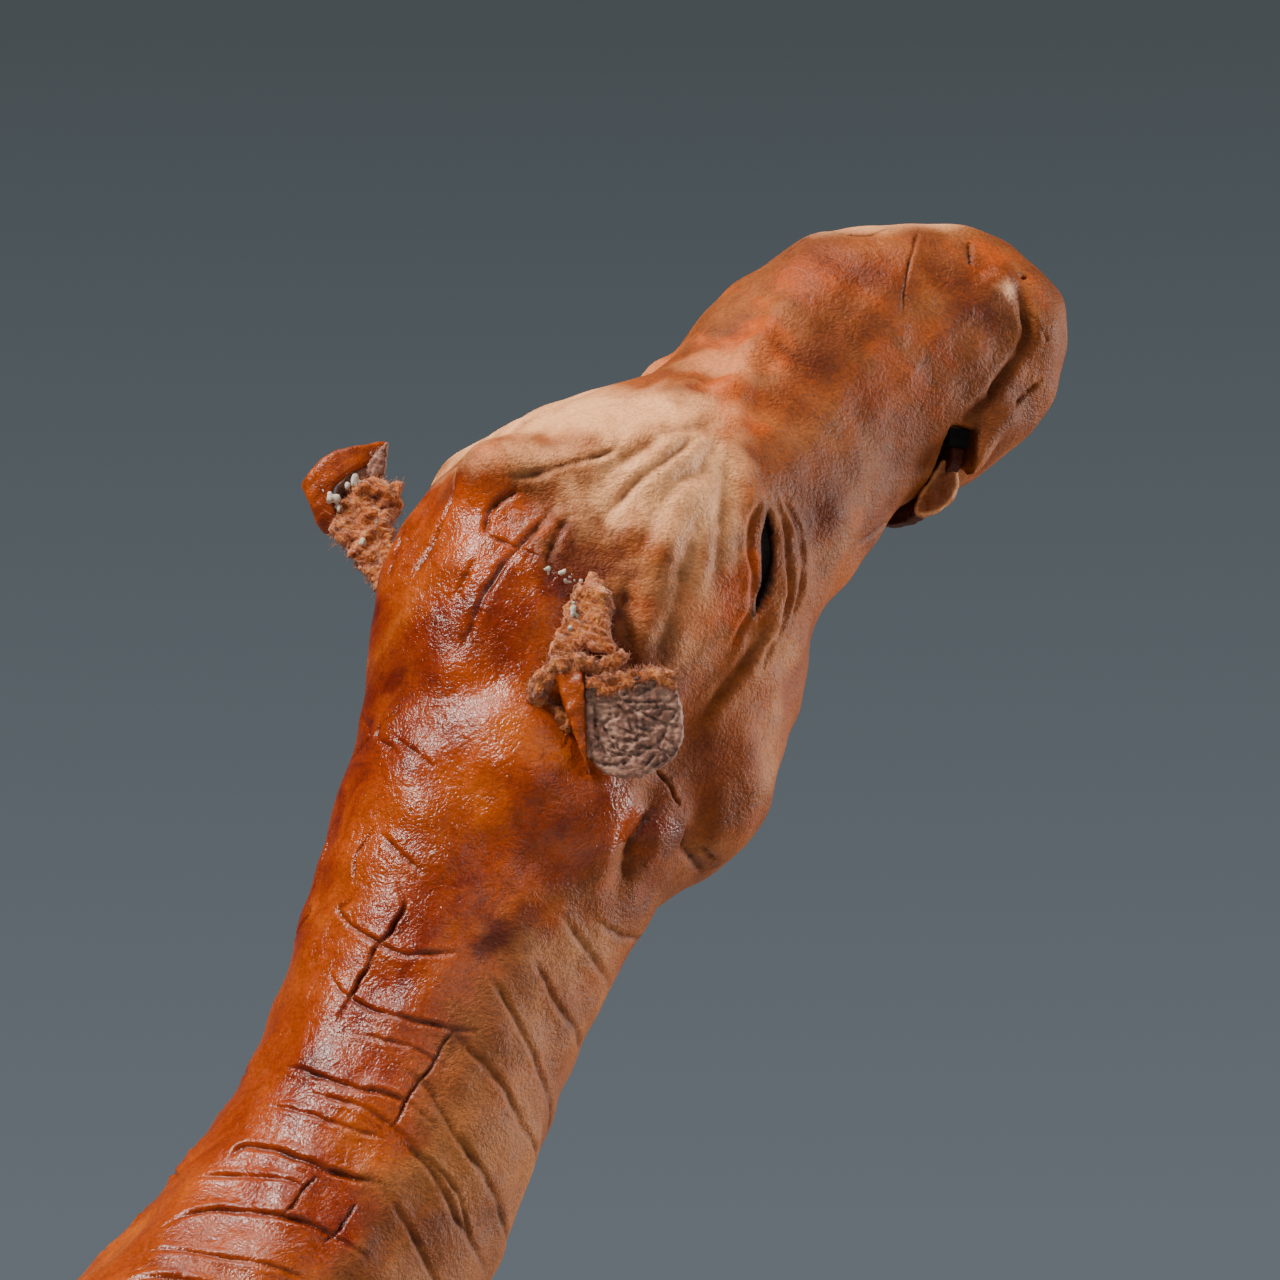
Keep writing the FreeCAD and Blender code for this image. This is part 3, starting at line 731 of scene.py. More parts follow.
DIAGONALS = creases("""
0.5 0.6 0.15 0.5 0.15 | 181 18.5 794, 184 19 790, 186.5 19 786, 193 14.5 778, 198 8 772.5
0.5 0.6 0.15 0.5 0.15 | 188.5 19 795.5, 193.5 17 789, 201.5 8.5 784
0.5 0.6 0.15 0.5 0.15 | 176 18.5 786, 180.5 19 782, 187.5 17 774.5, 193.5 10 768.5
0.5 0.6 0.15 0.5 0.15 | 169.5 17 781.5, 173 18.5 778.5, 176.5 19.5 772.5, 184 17 764, 189.5 9.5 758
0.5 0.6 0.15 0.5 0.15 | 167.5 18 773.5, 172.5 20 768.5, 176.5 19.5 762.5, 183.5 14.5 755.5
0.45 0.6 0.15 0.4 0.1 | 165 19.5 767, 170 20.5 760, 175 19.5 752, 179 17 745
0.3 0.4 0.15 0.35 0.1 | 171 19 770.5, 176 19.5 766, 180 18 758
0.4 0.6 0.15 0.4 0.1 | 191.5 19 802, 197 17 797, 203 10 793
0.4 0.5 0.15 0.4 0.1 | 197 18.5 801, 203 15 799.5, 209 9 800
""")
HEAD_FOLDS = creases("""
0.5 0.6 0.2 0.5 0.3 | 199.5 2 869, 195.5 2.5 867, 191.5 5.5 864
0.6 0.7 0.2 0.5 0.6 | 196 16 860.5, 191 13 859, 187 6.5 860, 183 5 854, 179 2.5 846
0.5 0.5 0.2 0.6 0.2 | 190.5 13 858.5, 196.5 16.5 860, 201.5 18 862
0.7 0.55 0.2 0.7 0.3 | 189.5 12.5 857.5, 186.5 11 854.5, 185 11.5 850.5
0.7 0.6 0.25 0.6 0.3 | 192.5 17 855, 188 15.5 849.5, 184 14 844, 181.5 12 836
0.4 0.3 0.1 0.7 0 | 185 11.5 851, 190 17 847.5
0.6 0.7 0.2 0.5 0.2 | 194 18 854, 191 18 848, 191 19 844.5
0.4 0.6 0.2 0.4 0.1 | 183.5 11.5 847.5, 181 10.5 842.5
0.6 1 0.3 0.3 0.2 | 216.5 19 867.5, 207 20 863, 198 18.5 858.5
0.5 0.7 0.3 0.4 0.2 | 215 20 866, 204.5 21 859.5, 197.5 20 853
0.6 1.4 0.4 0.2 0.1 | 214.5 21.5 864, 206 22 856, 202 22.5 847.5
0.7 1.6 0.5 0.25 0.1 | 209 23.5 853.5, 206 23.5 842.5, 204 23 833
0.5 1.2 0.4 0.15 0 | 215.5 22 862.5, 213 23.5 853.5, 210.5 24 843
0.7 1.2 0.4 0.3 0.3 | 201 21.5 846, 200 22 839, 201.5 22 830
0.8 0.9 0.3 0.3 0.5 | 222 23 840, 217.5 22.5 834, 211.5 22 827
0.5 0.7 0.3 0.3 0.2 | 226 22 850, 225 21.5 842, 221 20 834
0.6 0.8 0.2 0.6 0.2 | 205.5 20 816, 203 19 811, 202.5 18.5 806
0.6 0.6 0.2 0.6 0.3 | 211.5 18 814, 214 15 810.5, 219.5 9 809
0.5 0.5 0.1 0.5 0 | 216 15 812, 220 12 812
0.6 0.5 0.1 0.5 0.2 | 262 13 897.5, 260.5 15 893
1.2 0.9 0.5 0.5 0.4 | 267.5 15.5 891, 268.3 16 887, 269 16 883.5, 264.5 15.5 876.5, 259 14.5 871
0.6 0.5 0.2 0.4 0.2 | 273 14.5 878.5, 270 14.4 875.8, 267 14 873.5
0.5 0.5 0.1 0.4 0.1 | 251 8 858, 242 14.5 853
0.5 0.4 0.1 0.3 0 | 269 15.6 887, 272 14.6 884
0.3 0.6 0.7 0.2 0.1 | 219.8 24 857.5, 218 24 851, 218.4 23 843, 216.5 22 836
0.3 0.6 0.7 0.3 0.1 | 222 23 858, 225 21.5 852, 225.3 21 846, 222.5 22 839
0.3 0.6 0.6 0.25 0.1 | 223.5 22 858.5, 228 20.5 852, 228.2 20.5 845, 224.5 21 837
0.4 0.5 0.1 0.3 0 | 177 5 828.5, 175 1 825.5, 175 7 822
0.4 0.5 0.1 0.3 0 | 175 5 824.5, 176 9 822.5, 177.5 11.5 820
""")


def head_hide(leather):
    """The leather over the head and the upper neck, with its folds, cracks and stains."""
    clay, wood = head_clay()
    skin = clay.skin()
    wrinkle(skin, CRACKS + RINGS + DIAGONALS + HEAD_FOLDS)
    openings = np.minimum(eye_gap(*skin.points.T), mouth_gap(*skin.points.T))
    stay_outside(skin, clay, wood, openings > 0.5)
    colour_hide(skin)
    return skin.build("head_hide", leather, ("head_skin", "neck_skin"))


def stay_outside(skin, clay, wood, chosen=True):
    """Lifts the leather wherever a swell or a crease would let the wood through."""
    sunk = CLEAR_OF_WOOD - read_at(clay, wood, skin.points)
    skin.push(np.where(chosen & (sunk < 1), np.clip(sunk, 0, 1), 0))


def wrinkle(skin, table):
    """Uneven swells all over, then the creases of a table on both sides."""
    skin.roughen(1, (0.34, 15), (0.16, 6))
    laid = []
    for *style, points in table:
        unrest = CRACK_UNREST if style[3] > CRACK_DARK else FOLD_UNREST
        laid += [(skin.laid(line, unrest), *style) for line in both(points)]
    skin.refine([line for line, *_ in laid], 1.3)
    skin.refine([line for line, depth, width, *_ in laid if width < FINE_WIDTH], 0.6)
    for line, *style in laid:
        skin.crease(line, *np.multiply(style, CREASE_SCALE))
    skin.find_normals()


def neck_gloss(p):
    """Burnished behind, along a ragged edge down the sides; matte in front and below."""
    ragged = 2.2 * wander(p, 14, 5) + 0.9 * wander(p, 4, 6)
    behind = np.interp(p[:, 2], GLOSS_Z, GLOSS_X) - p[:, 0]
    return np.clip(0.5 + (behind + ragged) / 4, 0, 1)


def body_gloss(p):
    """Burnished along the back and unevenly down the legs."""
    ragged = 5 * wander(p, 40, 31) + 2 * wander(p, 12, 32)
    height = np.interp(p[:, 0], (-262, -215, -130, -60, -30), (440, 462, 470, 492, 520))
    trunk = np.clip(0.45 + (p[:, 2] - height + ragged) / 26, 0, 1)
    legs = np.clip(0.5 + 0.12 * ragged, 0, 1)
    share = np.clip((p[:, 2] - 360) / 60, 0, 1)
    return trunk * share + legs * (1 - share)


def colour_hide(skin):
    """Amounts that give a piece of hide its dye, stains and wear, and on the head its painted highlights and
    painted shade. Pieces agree where they meet.
    """
    p = skin.points
    from_shoulder = (p - BASE_CUT) @ BASE_WAY
    share = np.clip((from_shoulder + SHOULDER_BLEND) / (2 * SHOULDER_BLEND), 0, 1)
    skin.amount("gloss")[:] = neck_gloss(p) * share + body_gloss(p) * (1 - share)
    skin.amount("rust")[:] = np.clip(0.2 * wander(p, 50, 33) + 0.1 * wander(p, 9, 34), 0, 0.4)
    skin.amount("shade")[:] = 0.3 * np.clip(wander(p, 26, 36) - 0.5, 0, 1)
    knees = np.exp(-((p[:, 2] - KNEE_HEIGHT) / KNEE_SPREAD) ** 2)
    skin.amount("dust_and_highlight")[:] = 0.2 * knees * np.clip(0.6 + 0.5 * wander(p, 16, 35), 0, 1)
    skin.amount("shade")[:] += 0.5 * np.clip((75 - p[:, 2]) / 45, 0, 1)
    if p[:, 2].max() < HEAD_BOTTOM:
        return
    # painted shade on the walls inside the eye's slit and the mouth's slot
    gap = np.minimum(eye_gap(*p.T), mouth_gap(*p.T))
    skin.amount("line")[:] = np.maximum(skin.amount("line"), np.clip(1 - gap / 0.35, 0, 1))
    for side in (RIGHT, LEFT):
        for name, table in PATCHES.items():
            for x, y, z, *radii, value in table:
                skin.patch(name, (x, side * y, z), radii, value, 0.2 if name == "dust_and_highlight" else 0.4, int(x))


# rust stains; dark stains and painted shade by the ear's root and in hollows; pale wear and painted highlights
# on the brow, forehead and snout; burnished patches: centre and radii on either side, in mm, and strength
PATCHES = {
    "rust": numbers("""
226.5 10 880 5 7 5 1
236 8 890 6 5 3 0.7
220 17 872 3 7 8 1
217.5 23.5 858 2.5 6 6 0.7
264.5 13.5 895.5 4.5 5 2.5 0.9
272 12 890 3 6 3 0.7
245 16.5 874 9 7 5 0.5
251 15 882 8 7 5 0.5
211 24 841.5 8 6 3 1
217.5 23.5 846 2.6 6 6 0.8
195 20 813 8 8 6 0.6
186 19 803 6 8 5 0.9
184 11 853 6 7 7 0.7
182 13 830 7 8 10 0.3
240 12 850 8 8 5 0.3
"""),
    "shade": numbers("""
184 19 800 6 6 4 0.7
258 16.5 886 3 4 2.2 0.5
263.5 16.5 885 2.5 4 2 0.55
233.5 20.5 855.5 3.2 6 4 0.3
193 20.5 845.5 7 6 5 0.8
200 21.5 834 7 6 9 0.75
187 18 838 5 6 8 0.25
203 17 802.5 8 8 2.5 0.35
206 19 812 5 6 7 0.25
213 18 822 7 7 9 0.12
176.5 3 831.5 3 4 3.4 0.5
182 19 794 4 5 7 0.4
237 13 881 9 8 8 0.3
243 16 866 10 8 10 0.15
176 18 788 4 6 4 0.3
190 21 815 4 6 8 0.3
180 12.5 825.5 2.4 3 2.4 0.5
"""),
    "dust_and_highlight": numbers("""
223 11 877 5 8 6 0.4
207 18 863 13 10 8 1
200 9 869 15 14 5 1
209 23 856 9 8 8 1.1
199 19 856 6 6 5 0.8
189 13 772 16 14 26 0.15
207 24 842 7 8 7 0.35
190 10 861 7 8 3 0.5
245 2 900.5 20 11 3 0.7
265 15.8 889.8 1.8 3 1.4 1
224 17 838 5 6 7 0.3
224 15 824 3 6 9 0.3
196 18 797 8 8 4 0.3
"""),
    "gloss": numbers("""
203 23 852 10 8 10 0.35
250 12 890 16 10 8 0.45
"""),
}


def mouth_lip(leather):
    """The leather flap in the slot of the mouth, and its two tongues that hang out at the sides."""
    clay = Clay((244, -18, 852), (268, 18, 878), 0.35, 8)
    clay.add_node("lip_flap")
    clay.swell(0.1)
    skin = clay.skin(8, (0.12, 5), (0.05, 1.6))
    # painted shade: the flap is darkened all over for the shadow inside the mouth's slot
    skin.amount("shade")[:] = 1
    skin.amount("line")[:] = 0.6
    skin.build("lip_flap_leather", leather, ("lip_flap",), "lip")

    outline = [(1.0, 3.8), (2.7, 3.4), (3.3, 1.2), (2.6, -1.4), (0.8, -3.3), (-1.8, -4.0), (-3.0, -3.2),
               (-2.3, -1.0), (-0.6, 1.6)]
    clay = Clay((-6, -6, -6), (6, 7, 4), 0.2, 6)
    plate(clay, outline, 1.9, lambda u, v: -0.05 * u * u - 0.05 * v * v)
    skin = clay.skin(10, (0.1, 2.5), (0.04, 0.9))
    edge = outline_distance(skin.points[:, 0], skin.points[:, 1], outline)
    skin.amount("dust_and_highlight")[:] = 0.05 + 0.5 * np.exp(-((edge + 0.3) / 0.25) ** 2)
    skin.amount("shade")[:] = np.clip(-edge * 0.5 - 0.2, 0, 0.5)
    skin.amount("gloss")[:] = 0.2
    place = ear_frame(np.array((257.9, -9.9, 862.6)))
    skin.build("lip_tongue_right", leather, (), "lip", place)
    skin.faces = skin.faces[:, ::-1]
    skin.build("lip_tongue_left", leather, (), "lip", lambda points: place(points) * (1, -1, 1))


def neck_hide(leather):
    """The leather from the shoulders up to the head's piece. Its last few mm run just under that piece."""
    clay = Clay((-90, -66, 485), (165, 66, 745), 0.95)
    for name in ("neck_core", "torso_core"):
        clay.add_node(name)
    wood = clay.field.copy()
    clay.swell(LEATHER)
    clay.tuck_under(NECK_CUT, NECK_WAY, 7, 3, 0.18)
    clay.keep(above(NECK_CUT, -NECK_WAY))
    clay.keep(above(BASE_CUT - NECK_OVERLAP * BASE_WAY, BASE_WAY))
    skin = clay.skin()
    wrinkle(skin, RINGS[-3:] + DIAGONALS[2:5] + neck_rings())
    stay_outside(skin, clay, wood)
    colour_hide(skin)
    return skin.build("neck_hide", leather, ("neck_skin",))


def neck_rings():
    """Rings of slack leather down the neck, further apart and softer towards the shoulders."""
    found = []
    for index, z in enumerate((728, 711, 697, 680, 661, 640, 616, 590)):
        x = float(np.interp(z, GLOSS_Z, GLOSS_X))
        half = float(np.interp(z, (560, 640, 727), (40, 30, 21.5)))
        lean = 8 + 2 * (index % 3)
        line = [(x - half * 0.9, -2, z + 0.6 * half - 2), (x - half * 0.35, -half * 0.85, z + 3),
                (x + half * 0.3, -half, z - lean), (x + half * 0.8, -half * 0.6, z - 1.6 * lean)]
        found.append((0.9, 1.1 + 0.08 * index, 0.35, 0.45, 0.4, line))
        if index % 2:
            found.append((0.6, 0.8, 0.2, 0.35, 0.2, [(a, b, c - 9) for a, b, c in line[1:]]))
    return found


LEGS = {
    "front_right": (-64, RIGHT), "front_left": (-64, LEFT),
    "hind_right": (-214, RIGHT), "hind_left": (-214, LEFT),
}


def body_hide(leather):
    """One hide over the trunk and the four legs, gathered at the leg tops and slack at the knees.
    Its upper edge runs just under the neck's piece."""
    clay = Clay((-290, -66, 20), (56, 66, 600), 1.6, 12)
    for name in ("torso_core", "neck_core"):
        clay.add_node(name)
    for name in LEGS:
        clay.add_node(name + "_leg_core", 9)
    wood = clay.field.copy()
    clay.swell(LEATHER + 0.15)
    for end, knee in ((-53, 190), (-244, 184)):
        clay.ball((end, 37, knee), (14.5, 13.5, 17), 8)
    clay.ball((-64, 30, 486), (30, 21, 44), 16)
    clay.ball((-208, 27, 452), (38, 24, 50), 16)
    clay.tuck_under(BASE_CUT, BASE_WAY, 5, 4, 0.75)
    clay.keep(above(BASE_CUT + BODY_OVERLAP * BASE_WAY, -BASE_WAY))
    clay.keep(above((0, 0, HEM), (0, 0, 1)))
    skin = clay.skin()
    free = np.clip((BASE_CUT - skin.points) @ BASE_WAY / 40, 0, 1)
    skin.push(free * (0.7 * wander(skin.points, 60, 21) + 0.3 * wander(skin.points, 22, 22)))
    wrinkle(skin, body_folds())
    stay_outside(skin, clay, wood)
    colour_hide(skin)
    return skin.build("body_hide", leather, ("torso_skin",) + tuple(name + "_leg_skin" for name in LEGS))


def body_folds():
    """Creases round the knees and ankles, and folds that fan out where the legs join the trunk."""
    found = []
    front = (-53, 13, (222, 205, 196, 172, 148, 62, 50))
    hind = (-242, 14, (218, 201, 190, 168, 140, 62, 50))
    for x, half, heights in (front, hind):
        for index, z in enumerate(heights):
            wide = half if z > 100 else 10
            tilt = 3 - 2 * (index % 3)
            ring = [(x - wide, 37, z + tilt), (x - 0.6 * wide, 37 + wide * 0.75, z), (x, 37 + wide, z - tilt),
                    (x + 0.7 * wide, 37 + wide * 0.7, z - 2), (x + wide, 36, z + tilt)]
            found.append((1.0, 1.3, 0.4, 0.4, 0.3, ring[index % 2:len(ring) - (index + 1) % 2]))
    for x, y, z, spread in ((-64, 38, 430, 1), (-212, 38, 410, 1.2)):
        for index in range(6):
            way = math.radians(-75 + 30 * index)
            start = (x + 14 * math.sin(way), y + 6, z + 12 * math.cos(way))
            middle = (x + 26 * spread * math.sin(way), y + 2, z + 34 * math.cos(way))
            end = (x + 44 * spread * math.sin(way), y - 6, z + 62 * math.cos(way))
            found.append((1.1, 1.7, 0.5, 0.3, 0.5, [start, middle, end]))
    for x in (-30, -95, -128, -160, -182):
        line = [(x, 20, 545), (x - 4, 44, 520), (x + 3, 52, 490), (x, 40, 450)]
        found.append((0.9, 1.8, 0.5, 0.25, 0.3, line))
    return found


# ---------------------------------------------------------------- the ears

EAR_OUT = np.array(direction(-32, -6))
EAR_ACROSS = np.array((math.cos(math.radians(32)), -math.sin(math.radians(32)), 0))
EAR_UP = np.cross(EAR_OUT, EAR_ACROSS)
RIGHT_EAR = np.array((198.2, -27.0, 826.0))
LEFT_EAR = np.array((190.0, 34.0, 861.2))


def ear_frame(origin):
    """Puts points given across, up and out from an ear's middle into the statue."""
    return lambda points: origin + points @ np.array((EAR_ACROSS, EAR_UP, EAR_OUT))


def outline_distance(u, v, outline):
    """Signed distance, in the ear's plane, to a smooth closed outline."""
    ring = np.array(outline + outline[:3], float)
    corners = curve_through(ring, 0.8)
    first = np.argmin(np.linalg.norm(corners - ring[1], axis=1))
    last = len(corners) - 1 - np.argmin(np.linalg.norm(corners[::-1] - ring[-2], axis=1))
    corners = corners[first:last]
    shape = np.broadcast(u, v).shape
    best, inside = np.full(shape, 1e9), np.zeros(shape, bool)
    for a, b in zip(corners, np.roll(corners, -1, 0)):
        edge = b - a
        t = np.clip(((u - a[0]) * edge[0] + (v - a[1]) * edge[1]) / max(edge @ edge, 1e-9), 0, 1)
        best = np.minimum(best, (u - a[0] - t * edge[0]) ** 2 + (v - a[1] - t * edge[1]) ** 2)
        if abs(edge[1]) > 1e-9:
            crossing = a[0] + (v - a[1]) / edge[1] * edge[0]
            inside ^= ((a[1] <= v) != (b[1] <= v)) & (u < crossing)
    return np.where(inside, -1, 1) * np.sqrt(best)


def ear_clay(low, high, step=0.28):
    """Clay fine enough for the parts of an ear."""
    return Clay(low, high, step, 6)


def ear_piece(name, clay, place, material, seed, waves, replaced=(), tufts=None):
    """One piece of an ear, made uneven by waves. Tufts gives the count and length of its loose fibres."""
    skin = clay.skin(seed, *waves)
    skin.build(name, material, replaced, "ear_hide", place)
    if tufts:
        fibres(name + "_fibres", skin, place, *tufts, seed + 2, material)


def plate(clay, outline, thickness, bend, blend=0.5):
    """Adds a bent sheet of leather to an ear: bend gives how far out its middle is."""
    def shape(u, v, w):
        flat = outline_distance(u, v, outline)
        thin = np.abs(w - bend(u, v)) - thickness / 2
        return -smooth_least(-flat, -thin, 0.7).astype(np.float32)

    low = (*np.min(outline, 0), -14)
    high = (*np.max(outline, 0), 18)
    clay.apply(low, high, shape, blend)


def strand(verts, faces, rings):
    """Adds a three-sided tube with closed ends through rings of three points each."""
    start = len(verts)
    verts += [point for ring in rings for point in ring]
    for first in range(start, len(verts) - 3, 3):
        for side in range(3):
            a, b = first + side, first + (side + 1) % 3
            faces += [(a, b, b + 3), (a, b + 3, a + 3)]
    end = len(verts) - 3
    faces += [(start + 2, start + 1, start), (end, end + 1, end + 2)]


def ring_of_three(middle, radius, across, third):
    """Three points round a middle, in the plane of two unit vectors."""
    angles = [2 * math.pi * side / 3 for side in range(3)]
    return [middle + radius * (math.cos(a) * across + math.sin(a) * third) for a in angles]


def fibres(name, skin, place, count, length, seed, material):
    """Loose fibres that stand from a rough leather edge, thin and bent at random."""
    random = np.random.RandomState(seed)
    verts, faces = [], []
    for root in random.randint(0, len(skin.points), count):
        way = skin.normals[root] + random.normal(0, 0.75, 3)
        way /= np.linalg.norm(way)
        curl = random.normal(0, 0.5, 3)
        size = length * random.uniform(0.3, 1.0)
        thick = random.uniform(0.03, 0.07)
        across = np.cross(way, random.normal(size=3))
        across /= np.linalg.norm(across)
        third = np.cross(way, across)
        rings = []
        for step, taper in ((0, 1), (0.5, 0.8), (1, 0.25)):
            middle = skin.points[root] + size * step * (way + curl * step * 0.6) - 0.15 * way
            rings.append(ring_of_three(middle, thick * taper, across, third))
        strand(verts, faces, rings)
    mesh = plain_mesh(name, place(np.array(verts)) * MM, np.array(faces))
    finished(mesh, name, material)


def scattered_lines(skin, count, half, seed, lean):
    """Short random cracks over an ear's face."""
    random = np.random.RandomState(seed)
    for _ in range(count):
        middle = np.array((*random.uniform(-half, half, 2), 1.5))
        angle = math.radians(lean + random.normal(0, 30))
        reach = random.uniform(1.0, 3.2)
        way = np.array((math.cos(angle), math.sin(angle), 0)) * reach
        bow = np.array((-way[1], way[0], 0)) * random.normal(0, 0.12)
        line = skin.laid([middle - way, middle + bow, middle + way])
        depth, width = random.uniform(0.2, 0.4), random.uniform(0.14, 0.26)
        skin.crease(line, depth, width, 0.06, random.uniform(0.4, 0.95))


def ear_right(leather, suede, face):
    """The near ear: a suede strap from the slot, a roll and a cone of leather, and a cracked round blade."""
    place = ear_frame(RIGHT_EAR)
    strap = ear_clay((-14, -2, -10), (1, 20, 5))
    plate(strap, places("-7.8 17, -3.2 16.2, -2.9 12, -2.6 8.8, -6.5 9.4, -8.5 8.2, -11.2 8.4, -9.3 13"),
          1.9, lambda u, v: -1.6 - 0.42 * (v - 8.5) + 0.5 * np.sin(u * 0.9))
    strap.rope([(-5.5, 18.5, -9.5), (-5.4, 16, -5.2)], 2.0, 1.5)
    strap.ball((-8.2, 9.2, -0.2), (1.5, 1.0, 1.6), 0.5, carve=True)
    waves = [(0.22, 2.2), (0.14, 0.8)]
    ear_piece("ear_right_strap", strap, place, suede, 41, waves, ("ear_right",), (1300, 0.9))

    roll = ear_clay((-16, -2, -6), (2, 12, 6))
    roll.rope(places("-12.6 3.2 -1.5, -11.8 5.6 -0.6, -9.5 7.2 0.2, -7.2 7.6 0.2, -5.6 6.9 -0.4"), 1.25, 0.5)
    roll.rope(places("-11.9 2.2 -2.4, -9.9 1.2 -2.2, -8.8 0.4 -1.5"), 1.1, 0.5)
    roll.rope([(-3.4, 7.4, -0.6), (-1.6, 8.5, 0.1)], 0.8, 0.5)
    roll.rope([(-5.6, 6.9, -0.8), (-3.4, 7.4, -1.0)], 0.9, 0.5)
    ear_piece("ear_right_roll", roll, place, suede, 44, [(0.25, 1.8), (0.14, 0.7)], (), (1700, 1.1))

    cone = ear_clay((-13, -8, -5), (-2, 10, 6))
    cone.rope(places("-8.6 5.4 -0.3, -7.9 1.5 0.1, -6.5 -4.9 0.3"), 2.0, 0.6)
    cone.keep(lambda u, v, w: (np.abs(u + 8.3 - (5.4 - v) * 0.2) - 0.2
                               - 0.155 * np.clip(v + 5.2, 0, 12)).astype(np.float32) + 0 * w)
    cone.ball((-10.6, 4.0, 1.6), (1.1, 3.0, 1.0), 0.4, carve=True)
    skin = cone.skin(47, (0.08, 1.6))
    glossy_leather(skin, 0.7, 0.8, np.clip(0.42 + 0.2 * wander(skin.points, 2.5, 48), 0, 1))
    skin.build("ear_right_cone", leather, (), "ear_hide", place)

    outline = places("-6.2 4.6, -6.4 0, -5.9 -4.2, -3.9 -6.5, -1.5 -7.2, 1.6 -6.8, 4.7 -5, 6.2 -2.6, "
                     "6.3 0.5, 5.4 4.3, 2.7 6.1, -0.4 5.6, -3.5 5.1")
    blade = ear_clay((-8, -9, -4), (8, 9, 4), 0.22)
    plate(blade, outline, 2.1, lambda u, v: 0.25 * np.cos(u * 0.42) + 0.012 * v * v)
    blade.rope(places("-5.9 4 0.9, -5.9 0 1, -5 -4.2 0.9, -3.6 -5.6 0.8"), 0.5, 0.4)
    skin = blade.skin(49, (0.1, 1.7), (0.06, 0.7))
    for line in (places("-5 3 1, -5.1 0 1, -4.2 -3 1, -2.6 -5.4 1"),
                 places("-4.3 1 1, -3.2 -2.4 1, -1.8 -4.6 1"),
                 places("-1.5 2.6 1, 1.5 0.9 1, 5.9 -0.6 1"), places("-3.4 3.2 1, 0.4 2.4 1, 4.6 3 1"),
                 places("0.2 1.2 1, 0.6 -1.2 1, 0.2 -3.2 1"), places("1.2 3.3 1, 3 1.9 1, 6 1.5 1")):
        skin.crease(skin.laid(line), 0.3, 0.2, 0.08, 1.0, 0.1)
    scattered_lines(skin, 60, 5.4, 51, 8)
    skin.build("ear_right_blade", face, (), "ear_hide", place)

    fringe = ear_clay((-8, 1, -4), (8, 9, 4))
    plate(fringe, places("-6.4 5.4, -3.5 6.1, -0.4 6.5, 2.7 7, 4.8 6.2, 5.6 4.2, 3.9 4.4, 1.6 5.2, "
                         "-0.4 4.3, -3.5 3.2, -5.6 3.9"), 2.6, lambda u, v: 0.35 + 0 * u)
    ear_piece("ear_right_fringe", fringe, place, suede, 52, [(0.2, 1.5), (0.12, 0.6)], (), (1500, 1.0))


def glossy_leather(skin, rust, gloss, shade):
    """Burnished outer leather on a piece of an ear."""
    for name, value in (("rust", rust), ("gloss", gloss), ("shade", shade)):
        skin.amount(name)[:] = value


def ear_left(leather, suede, face):
    """The far ear: a twisted suede stalk, a knot and a blade curled over on itself."""
    place = ear_frame(LEFT_EAR)
    stalk = ear_clay((-6, -22, -5), (15, 6, 15))
    plate(stalk, places("-2.6 -3.6, 0.5 1, 5 1.2, 6.4 -1.8, 5.9 -4.7, 8.2 -8.5, 13 -14.5, 12.4 -19, "
                        "9 -17.5, 4 -12.4, 1.2 -9, -0.7 -6.6"), 3.0,
          lambda u, v: 11.5 * np.clip(-v / 17.7, -0.2, 1.1) + 0.9 * np.sin(0.7 * u + 0.45 * v))
    waves = [(0.35, 2.6), (0.16, 0.9)]
    ear_piece("ear_left_stalk", stalk, place, suede, 61, waves, ("ear_left",), (2200, 1.3))

    knot = ear_clay((-2, -5, -3), (9, 5, 6))
    knot.rope([(3.2 + 1.9 * math.cos(a), -0.2 + 1.7 * math.sin(a), 1.6 + 0.4 * math.sin(2 * a))
               for a in np.linspace(0, 2 * math.pi, 13)], 0.95, 0.4)
    knot.rope(places("5 1 1.4, 6.2 0.2 0.8, 6.4 -1.8 0.6"), 0.8, 0.5)
    ear_piece("ear_left_knot", knot, place, suede, 64, [(0.2, 1.6), (0.1, 0.7)], (), (700, 0.9))

    blade = ear_clay((-9, -8, -8), (8, 11, 6), 0.25)
    plate(blade, places("5 8, 1.6 7.5, -1.5 6.8, -4.1 5.3, -6.6 2.3, -6.4 0.9, -5.3 -1.4, -4.6 -3.6, "
                        "-2.6 -5.2, -1.2 -3, -2.3 0.6, -0.6 3, 2.2 4.6, 4.4 6.2"), 2.1,
          lambda u, v: 0.9 - 0.09 * (u + 2.5) ** 2 - 0.03 * (v - 1) ** 2)
    skin = blade.skin(67, (0.09, 2))
    glossy_leather(skin, 0.5, 0.75, np.clip(0.3 + 0.3 * wander(skin.points, 3.5, 68), 0, 1))
    skin.build("ear_left_blade", leather, (), "ear_hide", place)

    inner = ear_clay((-5, -4, -9), (8, 11, 4), 0.25)
    plate(inner, places("5.1 8, 5 5.6, 4.8 3.3, 2.5 1.8, -0.8 -0.5, -2.2 0.8, -0.8 3.2, 2.1 4.8"),
          1.7, lambda u, v: -1.7 + 0.16 * (u - 1.5) + 0.1 * (v - 3))
    skin = inner.skin(69, (0.1, 1.7), (0.05, 0.7))
    scattered_lines(skin, 26, 5.0, 71, 40)
    skin.build("ear_left_inner", face, (), "ear_hide", place)


# ---------------------------------------------------------------- feet, tail and fittings

def box_of(name):
    """The low and high corners of a CAD node, in mm."""
    return (np.array(corner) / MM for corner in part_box(name))


